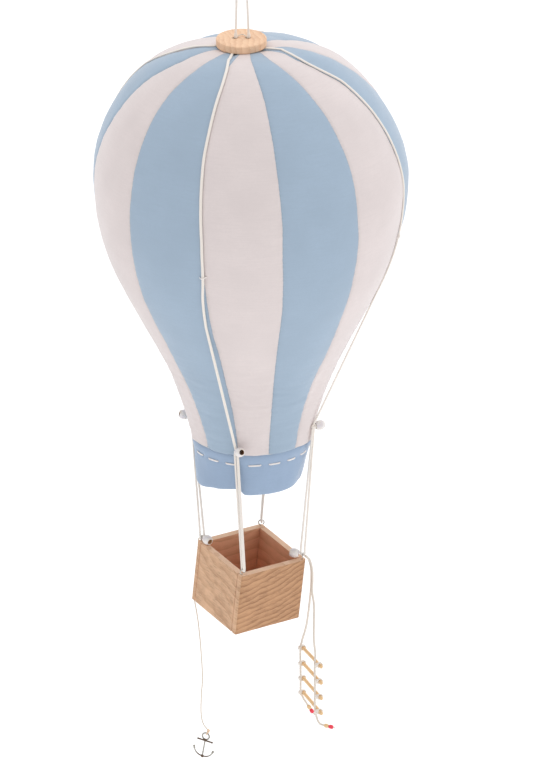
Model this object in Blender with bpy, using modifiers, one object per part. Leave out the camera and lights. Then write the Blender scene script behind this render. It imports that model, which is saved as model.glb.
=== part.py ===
"""Toy hot air balloon that hangs as a mobile.

A padded cloth envelope of twelve gores hangs from a wooden crown disc. Four cords run down its
seams to wooden beads, and on as doubled cords to the screw eyes of a wooden basket. An anchor on
a thread and a rope ladder hang from the basket. Metres, +Z up, seen from -Y in the photograph.
The origin is the inside of the hanging loop's top, where the ceiling hook bears.
Azimuths are degrees around the balloon: 0 faces -Y, and 90 faces +X.
"""
import bpy
import bmesh
from math import atan2, cos, pi, radians, sin, sqrt
from mathutils import Matrix, Vector
from mathutils.geometry import interpolate_bezier

GAP = 0.0003

# Cords
CORD_D = 0.0020
THREAD_D = 0.0011
ROPE_D = 0.0020

# Crown disc and hanging loop
DISC_X = -0.0008
DISC_TOP = -0.0487
DISC_R = 0.0225
DISC_T = 0.0069
DISC_EDGE = 0.0010
HOLE_X = 0.0058
HOLE_D = 0.0027
LOOP_R = 0.0046
CROWN_KNOT_R = 0.0044
CROWN_KNOT_H = 0.0060
STRAND_REACH = 0.0014
STRAND_BEND_RISE = 0.0010

# Envelope: the disc was sewn on a little to the left of the cloth's own axis.
# Drops are measured down from CLOTH_TOP.
CLOTH_TOP = -0.0500
AXIS_X = 0.0060
WALL = 0.0090
GORES = 12
FIRST_SEAM = -17.3
GORE_STEPS = 3
EQUATOR_R = 0.1399
EQUATOR_DROP = 0.1307
CROWN_R, CROWN_DROP = 0.012, 0.0105
SHOULDER_R, SHOULDER_DROP = 0.0809, -0.0048
UPPER_HANDLE = 0.0677
LOWER_HANDLE = 0.0990
MOUTH_R, MOUTH_DROP = 0.0554, 0.3785
MOUTH_HANDLE_R, MOUTH_HANDLE_DROP = 0.0713, 0.2792
UPPER_ROWS = 8
LOWER_ROWS = 10

# Skirt band
SKIRT_TOP_R = 0.0551
SKIRT_HEM_R = 0.0485
SKIRT_H = 0.0435
SKIRT_T = 0.0026
SKIRT_SAG = 0.0004
SKIRT_STEPS = 40

# Suspension cords leave the seam where a straight run to the bead begins
CORD_START_R = 0.0085
UNDER_DISC_R = 0.0138
SEAM_START_R = 0.0346
SEAM_CLEARANCE = 0.0004
LEAVE_DROP = 0.232
CORD_POINTS = 30

# Beads
BEAD_R = 0.0044
BEAD_END_R = 0.0033
BEAD_L = 0.0085
BEAD_HOLE_R = 0.0023
BEAD_SHOULDER_R = 0.0041
BEAD_SHOULDER_H = 0.0026
KNOT_R = 0.0018
KNOT_STRETCH = 1.1
STRAND_OFFSET = 0.0013

# Basket, measured in its own frame: the origin is the middle of its rim
BASKET_SIDE = 0.0727
BASKET_H = 0.0623
BOARD_T = 0.0062
FLOOR_T = 0.0050
CORNER_R = 0.0027
LOW_EDGE_R = 0.0012
BASKET_AT = (0.00415, 0.0, -0.54753)
BASKET_TURN = 34.87
BASKET_TILT = (5.19, 5.96)

# Screw eyes: the wire is bent from one angle round to another, counted from straight down
EYE_R = 0.0026
EYE_WIRE = 0.0010
EYE_ANGLES = range(42, 331, 18)
EYE_NECK = ((0.16, 1.06), (0.0, 1.32))
EYE_INSET = 0.0029
EYE_H = 0.0034
LINE_SWING = 0.00185
SHANK_L = 0.0055
SHANK_HOLE_D = 0.0018
THREAD_IN_EYE = 0.00118
THREAD_IN_BEAD = 0.0013

# Anchor, measured from the middle of its ring
ANCHOR_AT = (-0.0403, 0.012, -0.7444)
ANCHOR_TURN = -20.0
ANCHOR_TILT = 10.3
ANCHOR_RING_R = 0.0034
ANCHOR_WIRE = 0.0014
ANCHOR_STOCK_DROP = 0.0047
ANCHOR_STOCK_HALF = 0.0070
ANCHOR_LENGTH = 0.0214
ANCHOR_TIP = (0.0095, -0.0138)
STOCK_D = 0.0015
SHANK_D = 0.0013
ARM_D = 0.0012
TIP_R = 0.0011
ARM_HANDLE_LOW = (0.0052, -0.0004)
ARM_HANDLE_TIP = (-0.0008, -0.0042)
ARM_POINTS = 9
CROWN_POINT_R = 0.0002
CROWN_BASE_R = 0.0018
CROWN_H = 0.0030
CROWN_DIP = 0.0006
TIE_ANGLE = 14.0
TIE_R = 0.00185
TIE_WIRE = 0.0009
TIE_KNOT_R = 0.0012
TIE_KNOT_RISE = 0.0043
TIE_KNOT_STRETCH = 1.15

# Rope ladder
RUNG_D = 0.0033
RUNG_L = 0.0465
RUNG_AT = (0.0588, -0.0100)
RUNG_AZIMUTH = 21.8
FIRST_RUNG_Z = -0.6525
END_BEAD_D = 0.0028
END_BEAD_L = 0.0042

# Each rung: how far it hangs below the first, how much lower its near end is than its far end
RUNGS = ((0.0, 0.0), (0.0163, 0.0008), (0.0318, 0.0014), (0.0470, 0.0020))

# Each corner: name, azimuth and height of its upper knot, azimuth and rise of its bead's axis,
# knot's middle to bead, corner of the basket in half sides, azimuth its screw eye's hole faces
CORNERS = (
    ("front", -14.8, -0.4241, 28.0, 20.0, 0.0032, (-1, -1), 35.0),
    ("right", 63.7, -0.4126, 118.0, 0.0, 0.0024, (1, -1), 86.0),
    ("back", 163.0, -0.4180, 160.0, 0.0, 0.0021, (1, 1), 4.0),
    ("left", -110.9, -0.4223, -85.0, 16.0, 0.0032, (-1, 1), 82.0),
)

# Stopper beads on the rim: corner, place in the basket's own frame, way the bead points
STOPPERS = (
    ("left", (-0.0319, 0.0263), (0, -1)),
    ("right", (0.0278, -0.0280), (-1, 1)),
)

# Free cords hang along these points, chosen by hand from the photograph. The anchor's thread
# goes over the rim in the basket's own frame and hangs on in the balloon's.
ANCHOR_CORD_OVER_RIM = (
    (-0.0336, 0.0364, 0.0016), (-0.0334, 0.0379, 0.0004), (-0.0331, 0.0382, -0.0030),
    (-0.0330, 0.0379, -0.0120), (-0.0330, 0.0377, -0.0330), (-0.0328, 0.0377, -0.0590),
)
ANCHOR_CORD_ROUTE = (
    (-0.0487, 0.0172, -0.6095), (-0.0468, 0.0160, -0.6220), (-0.0453, 0.0140, -0.6353),
    (-0.0437, 0.0120, -0.6569), (-0.0427, 0.0120, -0.6833), (-0.0438, 0.0120, -0.6993),
    (-0.0445, 0.0120, -0.7180), (-0.0430, 0.0118, -0.7300),
)
ANCHOR_CORD_POINTS = 80

# Both ladder ropes leave the right screw eye together; the last column is half their spacing
LADDER_SHARED_ROUTE = (
    (0.0529, -0.0088, -0.5502, 0.0012), (0.0550, -0.0092, -0.5512, 0.0012),
    (0.0574, -0.0095, -0.5552, 0.0012), (0.0591, -0.0096, -0.5642, 0.0012),
    (0.0592, -0.0090, -0.5750, 0.0013), (0.0588, -0.0082, -0.5860, 0.0017),
)
FAR_ROPE_ROUTE = (
    (0.0561, -0.0020, -0.6092), (0.0537, 0.0040, -0.6284), (0.0502, 0.0090, -0.6440),
)
FAR_ROPE_END = (
    (0.0494, 0.0088, -0.7010), (0.0515, 0.0080, -0.7050), (0.0549, 0.0068, -0.7102),
)
NEAR_ROPE_ROUTE = (
    (0.0610, -0.0125, -0.5990), (0.0608, -0.0175, -0.6140), (0.0606, -0.0208, -0.6291),
    (0.0618, -0.0226, -0.6430),
)
NEAR_ROPE_END = (
    (0.0626, -0.0232, -0.7070), (0.0640, -0.0242, -0.7114), (0.0664, -0.0252, -0.7142),
    (0.0695, -0.0263, -0.7148),
)
FAR_ROPE_AT = -0.0205
NEAR_ROPE_AT = 0.0140
ROPE_POINTS = 50

COLOURS = {
    "blue_cloth": ((0.42, 0.58, 0.76), 0.85, 0.0),
    "white_cloth": ((0.84, 0.80, 0.80), 0.85, 0.0),
    "disc_wood": ((0.80, 0.62, 0.42), 0.55, 0.0),
    "basket_wood": ((0.58, 0.36, 0.21), 0.60, 0.0),
    "rung_wood": ((0.88, 0.66, 0.38), 0.55, 0.0),
    "white_paint": ((0.86, 0.86, 0.87), 0.45, 0.0),
    "red_paint": ((0.80, 0.06, 0.08), 0.40, 0.0),
    "cotton_cord": ((0.86, 0.82, 0.76), 0.90, 0.0),
    "steel": ((0.62, 0.60, 0.58), 0.30, 1.0),
    "old_brass": ((0.34, 0.27, 0.18), 0.42, 1.0),
}


def clear_scene():
    for obj in list(bpy.data.objects):
        bpy.data.objects.remove(obj, do_unlink=True)


def new_collection(name):
    collection = bpy.data.collections.new(name)
    bpy.context.scene.collection.children.link(collection)
    return collection


def material(name):
    found = bpy.data.materials.get(name)
    if found:
        return found
    colour, roughness, metallic = COLOURS[name]
    made = bpy.data.materials.new(name)
    made.use_nodes = True
    shader = made.node_tree.nodes["Principled BSDF"]
    shader.inputs["Base Color"].default_value = (*colour, 1.0)
    shader.inputs["Roughness"].default_value = roughness
    shader.inputs["Metallic"].default_value = metallic
    return made


def add_object(name, data, finish, parent=None):
    """Put mesh or curve data into the balloon's collection as one named sub-part."""
    obj = bpy.data.objects.new(name, data)
    PARTS.objects.link(obj)
    data.materials.clear()
    data.materials.append(material(finish))
    obj.parent = parent
    return obj


def add_helper(name, mesh, parent=None):
    """A cutter or a shape that is joined into another piece, kept out of the model itself."""
    obj = bpy.data.objects.new(name, mesh)
    HELPERS.objects.link(obj)
    obj.hide_render = True
    obj.display_type = "WIRE"
    obj.parent = parent
    return obj


def mesh_from(bm, name):
    bmesh.ops.recalc_face_normals(bm, faces=bm.faces[:])
    mesh = bpy.data.meshes.new(name)
    bm.to_mesh(mesh)
    bm.free()
    return mesh


def shade_round(mesh, angle=40.0):
    mesh.shade_smooth()
    mesh.set_sharp_from_angle(angle=radians(angle))
    return mesh


def facing(azimuth):
    """The level direction that an azimuth means."""
    turn = radians(azimuth)
    return Vector((sin(turn), -cos(turn), 0.0))


def smooth_points(route, count):
    """Evenly spaced points on a smooth curve through the route's points."""
    knots = [Vector(p) for p in route]
    knots = [2 * knots[0] - knots[1]] + knots + [2 * knots[-1] - knots[-2]]
    dense = []
    for before, start, end, after in zip(knots, knots[1:], knots[2:], knots[3:]):
        handle_a = start + (end - before) / 6
        handle_b = end - (after - start) / 6
        dense += interpolate_bezier(start, handle_a, handle_b, end, 12)[:-1]
    dense.append(knots[-2])
    travelled = [0.0]
    for a, b in zip(dense, dense[1:]):
        travelled.append(travelled[-1] + (b - a).length)
    points = []
    segment = 0
    for step in range(count):
        target = travelled[-1] * step / (count - 1)
        while segment < len(dense) - 2 and travelled[segment + 1] < target:
            segment += 1
        span = travelled[segment + 1] - travelled[segment]
        part = min(max((target - travelled[segment]) / span, 0.0), 1.0)
        points.append(dense[segment].lerp(dense[segment + 1], part))
    return points


def wire_curve(name, points, diameter):
    """A round tube along its points, with closed ends."""
    curve = bpy.data.curves.new(name, "CURVE")
    curve.dimensions = "3D"
    curve.bevel_depth = diameter / 2
    curve.bevel_resolution = 2
    curve.use_fill_caps = True
    spline = curve.splines.new("POLY")
    spline.points.add(len(points) - 1)
    for point, place in zip(spline.points, points):
        point.co = (*place, 1.0)
    spline.use_smooth = True
    return curve


def cord(name, points, diameter, finish="cotton_cord", parent=None):
    return add_object(name, wire_curve(name, points, diameter), finish, parent)


def profile_mesh(name, points, closed):
    """Edges in the XZ plane that a Screw modifier turns about Z."""
    mesh = bpy.data.meshes.new(name)
    edges = [(i, i + 1) for i in range(len(points) - 1)]
    if closed:
        edges.append((len(points) - 1, 0))
    mesh.from_pydata([(r, 0.0, z) for r, z in points], edges, [])
    return mesh


def turn_profile(obj, steps):
    screw = obj.modifiers.new("turned", "SCREW")
    screw.axis = "Z"
    screw.angle = 2 * pi
    screw.steps = steps
    screw.render_steps = steps
    screw.use_merge_vertices = True
    screw.merge_threshold = 0.00001
    screw.use_smooth_shade = True


def cut(obj, cutter):
    boolean = obj.modifiers.new("cut " + cutter.name, "BOOLEAN")
    boolean.operation = "DIFFERENCE"
    boolean.object = cutter


def join(obj, helper):
    boolean = obj.modifiers.new("join " + helper.name, "BOOLEAN")
    boolean.operation = "UNION"
    boolean.object = helper


def cylinder_mesh(name, radius, length, sides=12):
    """A round bar along Z, centred on its middle."""
    bm = bmesh.new()
    bmesh.ops.create_cone(bm, cap_ends=True, segments=sides, radius1=radius, radius2=radius,
                          depth=length)
    return shade_round(mesh_from(bm, name))


def ball_mesh(name, radius, stretch=1.0, segments=12, rings=8):
    bm = bmesh.new()
    bmesh.ops.create_uvsphere(bm, u_segments=segments, v_segments=rings, radius=radius)
    bmesh.ops.scale(bm, vec=(1.0, 1.0, stretch), verts=bm.verts[:])
    mesh = mesh_from(bm, name)
    mesh.shade_smooth()
    return mesh


def ring_mesh(radius, wire, segments):
    """A closed ring of wire that lies flat round the origin."""
    bpy.ops.mesh.primitive_torus_add(major_radius=radius, minor_radius=wire / 2,
                                     major_segments=segments, minor_segments=8)
    ring = bpy.context.object
    mesh = ring.data
    bpy.data.objects.remove(ring, do_unlink=True)
    mesh.shade_smooth()
    return mesh


def aim(obj, place, direction):
    """Place an object and turn its own Z to a direction."""
    obj.location = place
    obj.rotation_euler = Vector(direction).to_track_quat("Z", "Y").to_euler()


def envelope_profile():
    """Radius and height of the cloth's outer face, from the crown down to the mouth."""
    crown = Vector((CROWN_R, CLOTH_TOP - CROWN_DROP, 0))
    shoulder = Vector((SHOULDER_R, CLOTH_TOP - SHOULDER_DROP, 0))
    equator = Vector((EQUATOR_R, CLOTH_TOP - EQUATOR_DROP, 0))
    above = equator + Vector((0, UPPER_HANDLE, 0))
    below = equator - Vector((0, LOWER_HANDLE, 0))
    near_mouth = Vector((MOUTH_HANDLE_R, CLOTH_TOP - MOUTH_HANDLE_DROP, 0))
    mouth = Vector((MOUTH_R, CLOTH_TOP - MOUTH_DROP, 0))
    upper = interpolate_bezier(crown, shoulder, above, equator, UPPER_ROWS + 1)
    lower = interpolate_bezier(equator, below, near_mouth, mouth, LOWER_ROWS + 1)
    return [(p.x, p.y) for p in upper + lower[1:]]


def inset_profile(profile, depth):
    """The profile moved inwards by a depth, square to the cloth."""
    moved = []
    last = len(profile) - 1
    for i, (r, z) in enumerate(profile):
        before = profile[max(i - 1, 0)]
        after = profile[min(i + 1, last)]
        along_r, along_z = after[0] - before[0], after[1] - before[1]
        size = sqrt(along_r ** 2 + along_z ** 2)
        moved.append((r + along_z / size * depth, z - along_r / size * depth))
    return moved


def gore_mesh():
    """One padded gore: the wall's section, spun through a twelfth of a turn."""
    outer = envelope_profile()
    inner = inset_profile(outer, WALL)
    inner[0] = (CROWN_R, inner[0][1])
    inner[-1] = (MOUTH_R - WALL, outer[-1][1])
    half = pi / GORES
    bm = bmesh.new()
    start = Matrix.Rotation(-pi / 2 - half, 4, "Z")
    rows = []
    for (ro, zo), (ri, zi) in zip(outer, inner):
        rows.append((bm.verts.new(start @ Vector((ro, 0, zo))),
                     bm.verts.new(start @ Vector((ri, 0, zi)))))
    for (outer_a, inner_a), (outer_b, inner_b) in zip(rows, rows[1:]):
        bm.faces.new((outer_a, outer_b, inner_b, inner_a))
    bmesh.ops.spin(bm, geom=bm.verts[:] + bm.edges[:] + bm.faces[:], cent=(0, 0, 0),
                   axis=(0, 0, 1), dvec=(0, 0, 0), angle=2 * half, steps=GORE_STEPS)
    for vert in bm.verts:
        turn = atan2(vert.co.x, -vert.co.y)
        if abs(turn) > 0.99 * half:
            inward = -1 if turn > 0 else 1
            vert.co += Vector((cos(turn), sin(turn), 0)) * (inward * GAP / 2)
    return shade_round(mesh_from(bm, "gore"), 50.0)


def envelope():
    mesh = gore_mesh()
    for index in range(GORES):
        tone = "white" if index % 2 == 0 else "blue"
        data = mesh.copy()
        gore = add_object(f"gore_{index + 1:02d}_{tone}", data, tone + "_cloth")
        middle = FIRST_SEAM + (index + 0.5) * 360.0 / GORES
        gore.location = (AXIS_X, 0, 0)
        gore.rotation_euler = (0, 0, radians(middle))


def skirt_band():
    top = CLOTH_TOP - MOUTH_DROP - GAP
    hem = top - SKIRT_H
    middle_r = (SKIRT_TOP_R + SKIRT_HEM_R) / 2 - SKIRT_SAG
    middle = (top + hem) / 2
    points = [
        (SKIRT_TOP_R, top), (middle_r, middle), (SKIRT_HEM_R, hem + SKIRT_T / 2),
        (SKIRT_HEM_R - SKIRT_T / 2, hem), (SKIRT_HEM_R - SKIRT_T, hem + SKIRT_T / 2),
        (middle_r - SKIRT_T, middle), (SKIRT_TOP_R - SKIRT_T, top),
    ]
    band = add_object("skirt_band", profile_mesh("skirt_band", points, True), "blue_cloth")
    band.location = (AXIS_X, 0, 0)
    turn_profile(band, SKIRT_STEPS)


def crown_disc():
    low = DISC_TOP - DISC_T
    soft = DISC_EDGE * (1 - sqrt(0.5))
    points = [
        (0.0, DISC_TOP), (DISC_R - DISC_EDGE, DISC_TOP), (DISC_R - soft, DISC_TOP - soft),
        (DISC_R, DISC_TOP - DISC_EDGE), (DISC_R, low + DISC_EDGE),
        (DISC_R - soft, low + soft), (DISC_R - DISC_EDGE, low), (0.0, low),
    ]
    disc = add_object("crown_disc", profile_mesh("crown_disc", points, False), "disc_wood")
    disc.location = (DISC_X, 0, 0)
    turn_profile(disc, 32)
    for side in (-1, 1):
        hole = add_helper(f"disc_hole_{side}", cylinder_mesh("disc_hole", HOLE_D / 2, 3 * DISC_T))
        hole.location = (side * HOLE_X, 0, DISC_TOP - DISC_T / 2)
        cut(disc, hole)


def crown_knot():
    """The knot under the disc that the hanging cord and the four long cords are tied in."""
    mesh = ball_mesh("crown_knot", CROWN_KNOT_R, CROWN_KNOT_H / 2 / CROWN_KNOT_R)
    knot = add_object("crown_knot", mesh, "cotton_cord")
    knot.location = (0, 0, DISC_TOP - DISC_T - GAP - CROWN_KNOT_H / 2)


def hanging_cord():
    """Up through one hole of the disc, over the hook, and down through the other."""
    top = CORD_D / 2
    bend = top - LOOP_R
    foot = DISC_TOP - DISC_T - STRAND_REACH
    left = [(-HOLE_X, 0, foot), (-HOLE_X, 0, DISC_TOP + STRAND_BEND_RISE)]
    arc = [(-LOOP_R * cos(pi * i / 8), 0, bend + LOOP_R * sin(pi * i / 8)) for i in range(9)]
    right = [(-x, y, z) for x, y, z in reversed(left)]
    cord("hanging_cord", left + arc + right, CORD_D)


def suspension_cord(name, knot_azimuth, knot_z, seam):
    """From the crown knot under the disc, down the seam, then straight to the upper knot."""
    profile = inset_profile(envelope_profile(), -CORD_D / 2 - SEAM_CLEARANCE)
    first = DISC_TOP - DISC_T - 2 * GAP - CORD_D / 2
    middle = Vector((AXIS_X, 0, 0))
    out = facing(seam)
    route = [out * CORD_START_R + Vector((0, 0, first))]
    route.append(out * UNDER_DISC_R + Vector((0, 0, first)))
    for r, z in profile:
        if r > SEAM_START_R and z >= CLOTH_TOP - LEAVE_DROP:
            route.append(middle + out * r + Vector((0, 0, z)))
    knot = upper_knot_place(knot_azimuth, knot_z)
    end = knot + Vector((0, 0, KNOT_STRETCH * KNOT_R + 2 * GAP)) + facing(knot_azimuth) * GAP
    cord(f"suspension_cord_{name}", smooth_points(route, CORD_POINTS) + [end], CORD_D)


def cloth_radius(height):
    """Radius of the envelope's outer face at a height below its widest part."""
    profile = envelope_profile()
    for (r_top, z_top), (r_low, z_low) in zip(profile[UPPER_ROWS:], profile[UPPER_ROWS + 1:]):
        if z_top >= height >= z_low:
            return r_low + (r_top - r_low) * (height - z_low) / (z_top - z_low)
    return MOUTH_R


def upper_knot_place(azimuth, z):
    """A knot lies just outside the cloth, a little above the skirt."""
    away = cloth_radius(z + KNOT_R) + KNOT_R + 2 * GAP
    return Vector((AXIS_X, 0, z)) + facing(azimuth) * away


def bead(name, place, direction, parent=None):
    """A barrel bead with a wide hole along its axis."""
    half = BEAD_L / 2
    points = [
        (BEAD_END_R, half), (BEAD_SHOULDER_R, BEAD_SHOULDER_H), (BEAD_R, 0.0),
        (BEAD_SHOULDER_R, -BEAD_SHOULDER_H), (BEAD_END_R, -half), (BEAD_HOLE_R, -half),
        (BEAD_HOLE_R, half),
    ]
    obj = add_object(name, profile_mesh(name, points, True), "white_paint", parent)
    turn_profile(obj, 16)
    aim(obj, place, direction)


def basket_line(name, knot, knot_azimuth, wire_top, eye_azimuth):
    """A doubled cord: down from the knot, round the top of the eye's wire, and up again."""
    across = facing(eye_azimuth)
    beside = facing(knot_azimuth + 90.0)
    if beside.dot(across) < 0:
        beside = -beside
    turn = []
    for step in range(9):
        angle = pi * step / 8
        turn.append(wire_top - across * (LINE_SWING * cos(angle))
                    - Vector((0, 0, LINE_SWING * sin(angle))))
    start = knot - Vector((0, 0, KNOT_STRETCH * KNOT_R + 2 * GAP))
    rise = Vector((0, 0, 2 * LINE_SWING))
    points = [start - beside * STRAND_OFFSET, turn[0] + rise, *turn, turn[-1] + rise,
              start + beside * STRAND_OFFSET]
    cord(f"basket_line_{name}", points, CORD_D)


def screw_eye(name, azimuth, frame, place):
    """One bent wire: most of a ring, a neck, and a shank that goes into the rim."""
    side = frame.inverted().to_3x3() @ facing(azimuth + 90.0)
    side.z = 0.0
    side.normalize()
    centre = Vector(place)
    points = []
    for angle in EYE_ANGLES:
        turn = radians(angle)
        points.append(centre + side * (EYE_R * sin(turn)) - Vector((0, 0, EYE_R * cos(turn))))
    for across, down in EYE_NECK:
        points.append(centre - side * (EYE_R * across) - Vector((0, 0, EYE_R * down)))
    points.append(centre - Vector((0, 0, EYE_H + SHANK_L)))
    cord(f"screw_eye_{name}", points, EYE_WIRE, "steel", BASKET_FRAME)


def board(name, size, place, round_edges):
    """A box with the edges that a test picks rounded over."""
    bm = bmesh.new()
    bmesh.ops.create_cube(bm, size=1.0)
    bmesh.ops.scale(bm, vec=size, verts=bm.verts[:])
    bmesh.ops.translate(bm, vec=place, verts=bm.verts[:])
    for radius, picks in round_edges:
        edges = [e for e in bm.edges if picks(e.verts[0].co, e.verts[1].co)]
        bmesh.ops.bevel(bm, geom=edges, offset=radius, segments=3, profile=0.5,
                        affect="EDGES")
    mesh = shade_round(mesh_from(bm, name), 35.0)
    return add_object(name, mesh, "basket_wood", BASKET_FRAME)


def basket():
    """Two full boards, two between them, and a floor inside all four."""
    half = BASKET_SIDE / 2
    between = BASKET_SIDE - 2 * (BOARD_T + GAP)
    middle = half - BOARD_T / 2
    near = 0.00001

    def upright_corner(a, b):
        same = abs(a.x - b.x) < near and abs(a.y - b.y) < near
        return same and abs(abs(a.x) - half) < near and abs(abs(a.y) - half) < near

    def low_edge(a, b):
        low = a.z < -BASKET_H + near and b.z < -BASKET_H + near
        across_x = abs(abs(a.y) - half) < near and abs(abs(b.y) - half) < near
        across_y = abs(abs(a.x) - half) < near and abs(abs(b.x) - half) < near
        return low and (across_x or across_y)

    for name, side in (("board_front_right", -1), ("board_back_left", 1)):
        wall = board(name, (BASKET_SIDE, BOARD_T, BASKET_H), (0, side * middle, -BASKET_H / 2),
                     ((CORNER_R, upright_corner), (LOW_EDGE_R, low_edge)))
        for end in (-1, 1):
            hole = add_helper(f"{name}_hole_{end}",
                              cylinder_mesh("eye_hole", SHANK_HOLE_D / 2, 2 * SHANK_L + 0.002, 8),
                              BASKET_FRAME)
            hole.location = (end * (half - EYE_INSET), side * (half - EYE_INSET), 0)
            cut(wall, hole)
    for name, side in (("board_front_left", -1), ("board_back_right", 1)):
        board(name, (BOARD_T, between, BASKET_H), (side * middle, 0, -BASKET_H / 2),
              ((LOW_EDGE_R, low_edge),))
    floor = between - GAP
    board("basket_floor", (floor, floor, FLOOR_T), (0, 0, -BASKET_H + FLOOR_T / 2), ())


def stopper_beads():
    """Beads on the rim, inside two screw eyes, that keep a cord from slipping out."""
    for name, (x, y), direction in STOPPERS:
        bead(f"stopper_bead_{name}", (x, y, BEAD_R + GAP), (*direction, 0), BASKET_FRAME)


def anchor_cord(frame, tie_knot):
    """From the left stopper bead, through its screw eye, over the rim and down to the anchor."""
    reach = BASKET_SIDE / 2 - EYE_INSET
    in_eye = Vector((-reach, reach, EYE_H - THREAD_IN_EYE))
    _, (x, y), way = STOPPERS[0]
    in_bead = Vector((x, y, BEAD_R + GAP - THREAD_IN_BEAD))
    leaving = in_bead - Vector((*way, 0)) * (BEAD_L / 2)
    route = [frame @ in_bead, frame @ leaving, frame @ in_eye]
    route += [frame @ Vector(p) for p in ANCHOR_CORD_OVER_RIM]
    route += [Vector(p) for p in ANCHOR_CORD_ROUTE]
    approach = (route[-1] - tie_knot).normalized()
    route.append(tie_knot + approach * (TIE_KNOT_STRETCH * TIE_KNOT_R + 2 * GAP))
    cord("anchor_cord", smooth_points(route, ANCHOR_CORD_POINTS), THREAD_D)


def rigging(frame):
    for name, azimuth, z, bead_azimuth, bead_rise, stand, corner, eye_azimuth in CORNERS:
        seam = FIRST_SEAM + 90.0 * round((azimuth - FIRST_SEAM) / 90.0)
        suspension_cord(name, azimuth, z, seam)
        knot = upper_knot_place(azimuth, z)
        lump = add_object(f"upper_knot_{name}", ball_mesh("upper_knot", KNOT_R, KNOT_STRETCH),
                          "cotton_cord")
        lump.location = knot
        rise = radians(bead_rise)
        outward = facing(bead_azimuth) * cos(rise) + Vector((0, 0, sin(rise)))
        bead(f"upper_bead_{name}", knot + outward * (stand + BEAD_L / 2), outward)
        reach = BASKET_SIDE / 2 - EYE_INSET
        local = Vector((corner[0] * reach, corner[1] * reach, EYE_H))
        screw_eye(name, eye_azimuth, frame, local)
        wire_top = frame @ (local + Vector((0, 0, EYE_R)))
        basket_line(name, knot, azimuth, wire_top, eye_azimuth)


def anchor_axes():
    """The anchor's own axes: its ring's middle, with X along the stock and -Z down the shank."""
    turn = Matrix.Rotation(radians(ANCHOR_TURN), 4, "Z")
    tilt = Matrix.Rotation(radians(ANCHOR_TILT), 4, "Y")
    return Matrix.Translation(ANCHOR_AT) @ turn @ tilt


def tie_pivot(axes):
    """The bottom of the tie's loop inside the ring, which is the anchor's swing axis."""
    turn = radians(TIE_ANGLE)
    out = Vector((sin(turn), 0, cos(turn)))
    reach = ANCHOR_RING_R - (ANCHOR_WIRE + TIE_WIRE) / 2 - GAP
    return axes @ (out * reach), (axes.to_3x3() @ out).normalized()


def tube_mesh(name, points, diameter):
    """A tube as a closed mesh, for joining into the casting."""
    wire = bpy.data.objects.new(name, wire_curve(name, points, diameter))
    HELPERS.objects.link(wire)
    seen = wire.evaluated_get(bpy.context.evaluated_depsgraph_get())
    mesh = bpy.data.meshes.new_from_object(seen)
    bpy.data.objects.remove(wire, do_unlink=True)
    bm = bmesh.new()
    bm.from_mesh(mesh)
    bmesh.ops.remove_doubles(bm, verts=bm.verts[:], dist=0.00001)
    return mesh_from(bm, name)


def anchor(axes):
    """A small cast anchor: ring, stock, shank, crown and two curved arms with ball tips."""
    pivot, _ = tie_pivot(axes)
    shift = Matrix.Translation(-(axes.inverted() @ pivot))
    ring = ring_mesh(ANCHOR_RING_R, ANCHOR_WIRE, 24)
    ring.transform(shift @ Matrix.Rotation(pi / 2, 4, "X"))
    obj = add_object("anchor", ring, "old_brass")
    obj.matrix_world = Matrix.Translation(pivot) @ axes.to_3x3().to_4x4()
    stock = [(x, 0, -ANCHOR_STOCK_DROP) for x in (-ANCHOR_STOCK_HALF, 0, ANCHOR_STOCK_HALF)]
    shank = [(0, 0, -ANCHOR_STOCK_DROP + GAP), (0, 0, -ANCHOR_LENGTH)]
    tip_x, tip_z = ANCHOR_TIP
    low = Vector((0, 0, -ANCHOR_LENGTH))
    arms = []
    for side in (-1, 1):
        tip = Vector((side * tip_x, 0, tip_z))
        from_low = low + Vector((side * ARM_HANDLE_LOW[0], 0, ARM_HANDLE_LOW[1]))
        to_tip = tip + Vector((side * ARM_HANDLE_TIP[0], 0, ARM_HANDLE_TIP[1]))
        arms.append(interpolate_bezier(low, from_low, to_tip, tip, ARM_POINTS))
    shapes = [tube_mesh("anchor_stock", stock, STOCK_D),
              tube_mesh("anchor_shank", shank, SHANK_D),
              tube_mesh("anchor_arms", list(reversed(arms[0])) + list(arms[1][1:]), ARM_D)]
    for side in (-1, 1):
        ball = ball_mesh("anchor_tip", TIP_R, 1.0, 10, 6)
        ball.transform(Matrix.Translation((side * tip_x, 0, tip_z)))
        shapes.append(ball)
    bm = bmesh.new()
    bmesh.ops.create_cone(bm, cap_ends=True, segments=4, radius1=CROWN_POINT_R,
                          radius2=CROWN_BASE_R, depth=CROWN_H)
    bmesh.ops.translate(bm, vec=(0, 0, -ANCHOR_LENGTH - CROWN_DIP), verts=bm.verts[:])
    shapes.append(mesh_from(bm, "anchor_crown"))
    for shape in shapes:
        shape.transform(shift)
        helper = add_helper(shape.name, shape)
        helper.matrix_world = obj.matrix_world
        join(obj, helper)


def anchor_tie(axes):
    """The thread's end: a loop round the ring's wire with a knot above it."""
    pivot, up = tie_pivot(axes)
    normal = (axes.to_3x3() @ Vector((0, -1, 0))).normalized()
    along = up.cross(normal)
    knot = ball_mesh("anchor_tie", TIE_KNOT_R, TIE_KNOT_STRETCH, 10)
    place = Matrix((along, normal, up)).transposed().to_4x4()
    place.translation = pivot
    knot.transform(Matrix.Translation((0, 0, TIE_KNOT_RISE)))
    obj = add_object("anchor_tie", knot, "cotton_cord")
    obj.matrix_world = place
    loop = ring_mesh(TIE_R, TIE_WIRE, 16)
    loop.transform(Matrix.Translation((0, 0, TIE_R)) @ Matrix.Rotation(pi / 2, 4, "Y"))
    helper = add_helper("anchor_tie_loop", loop)
    helper.matrix_world = place
    join(obj, helper)
    return pivot + up * TIE_KNOT_RISE


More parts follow.
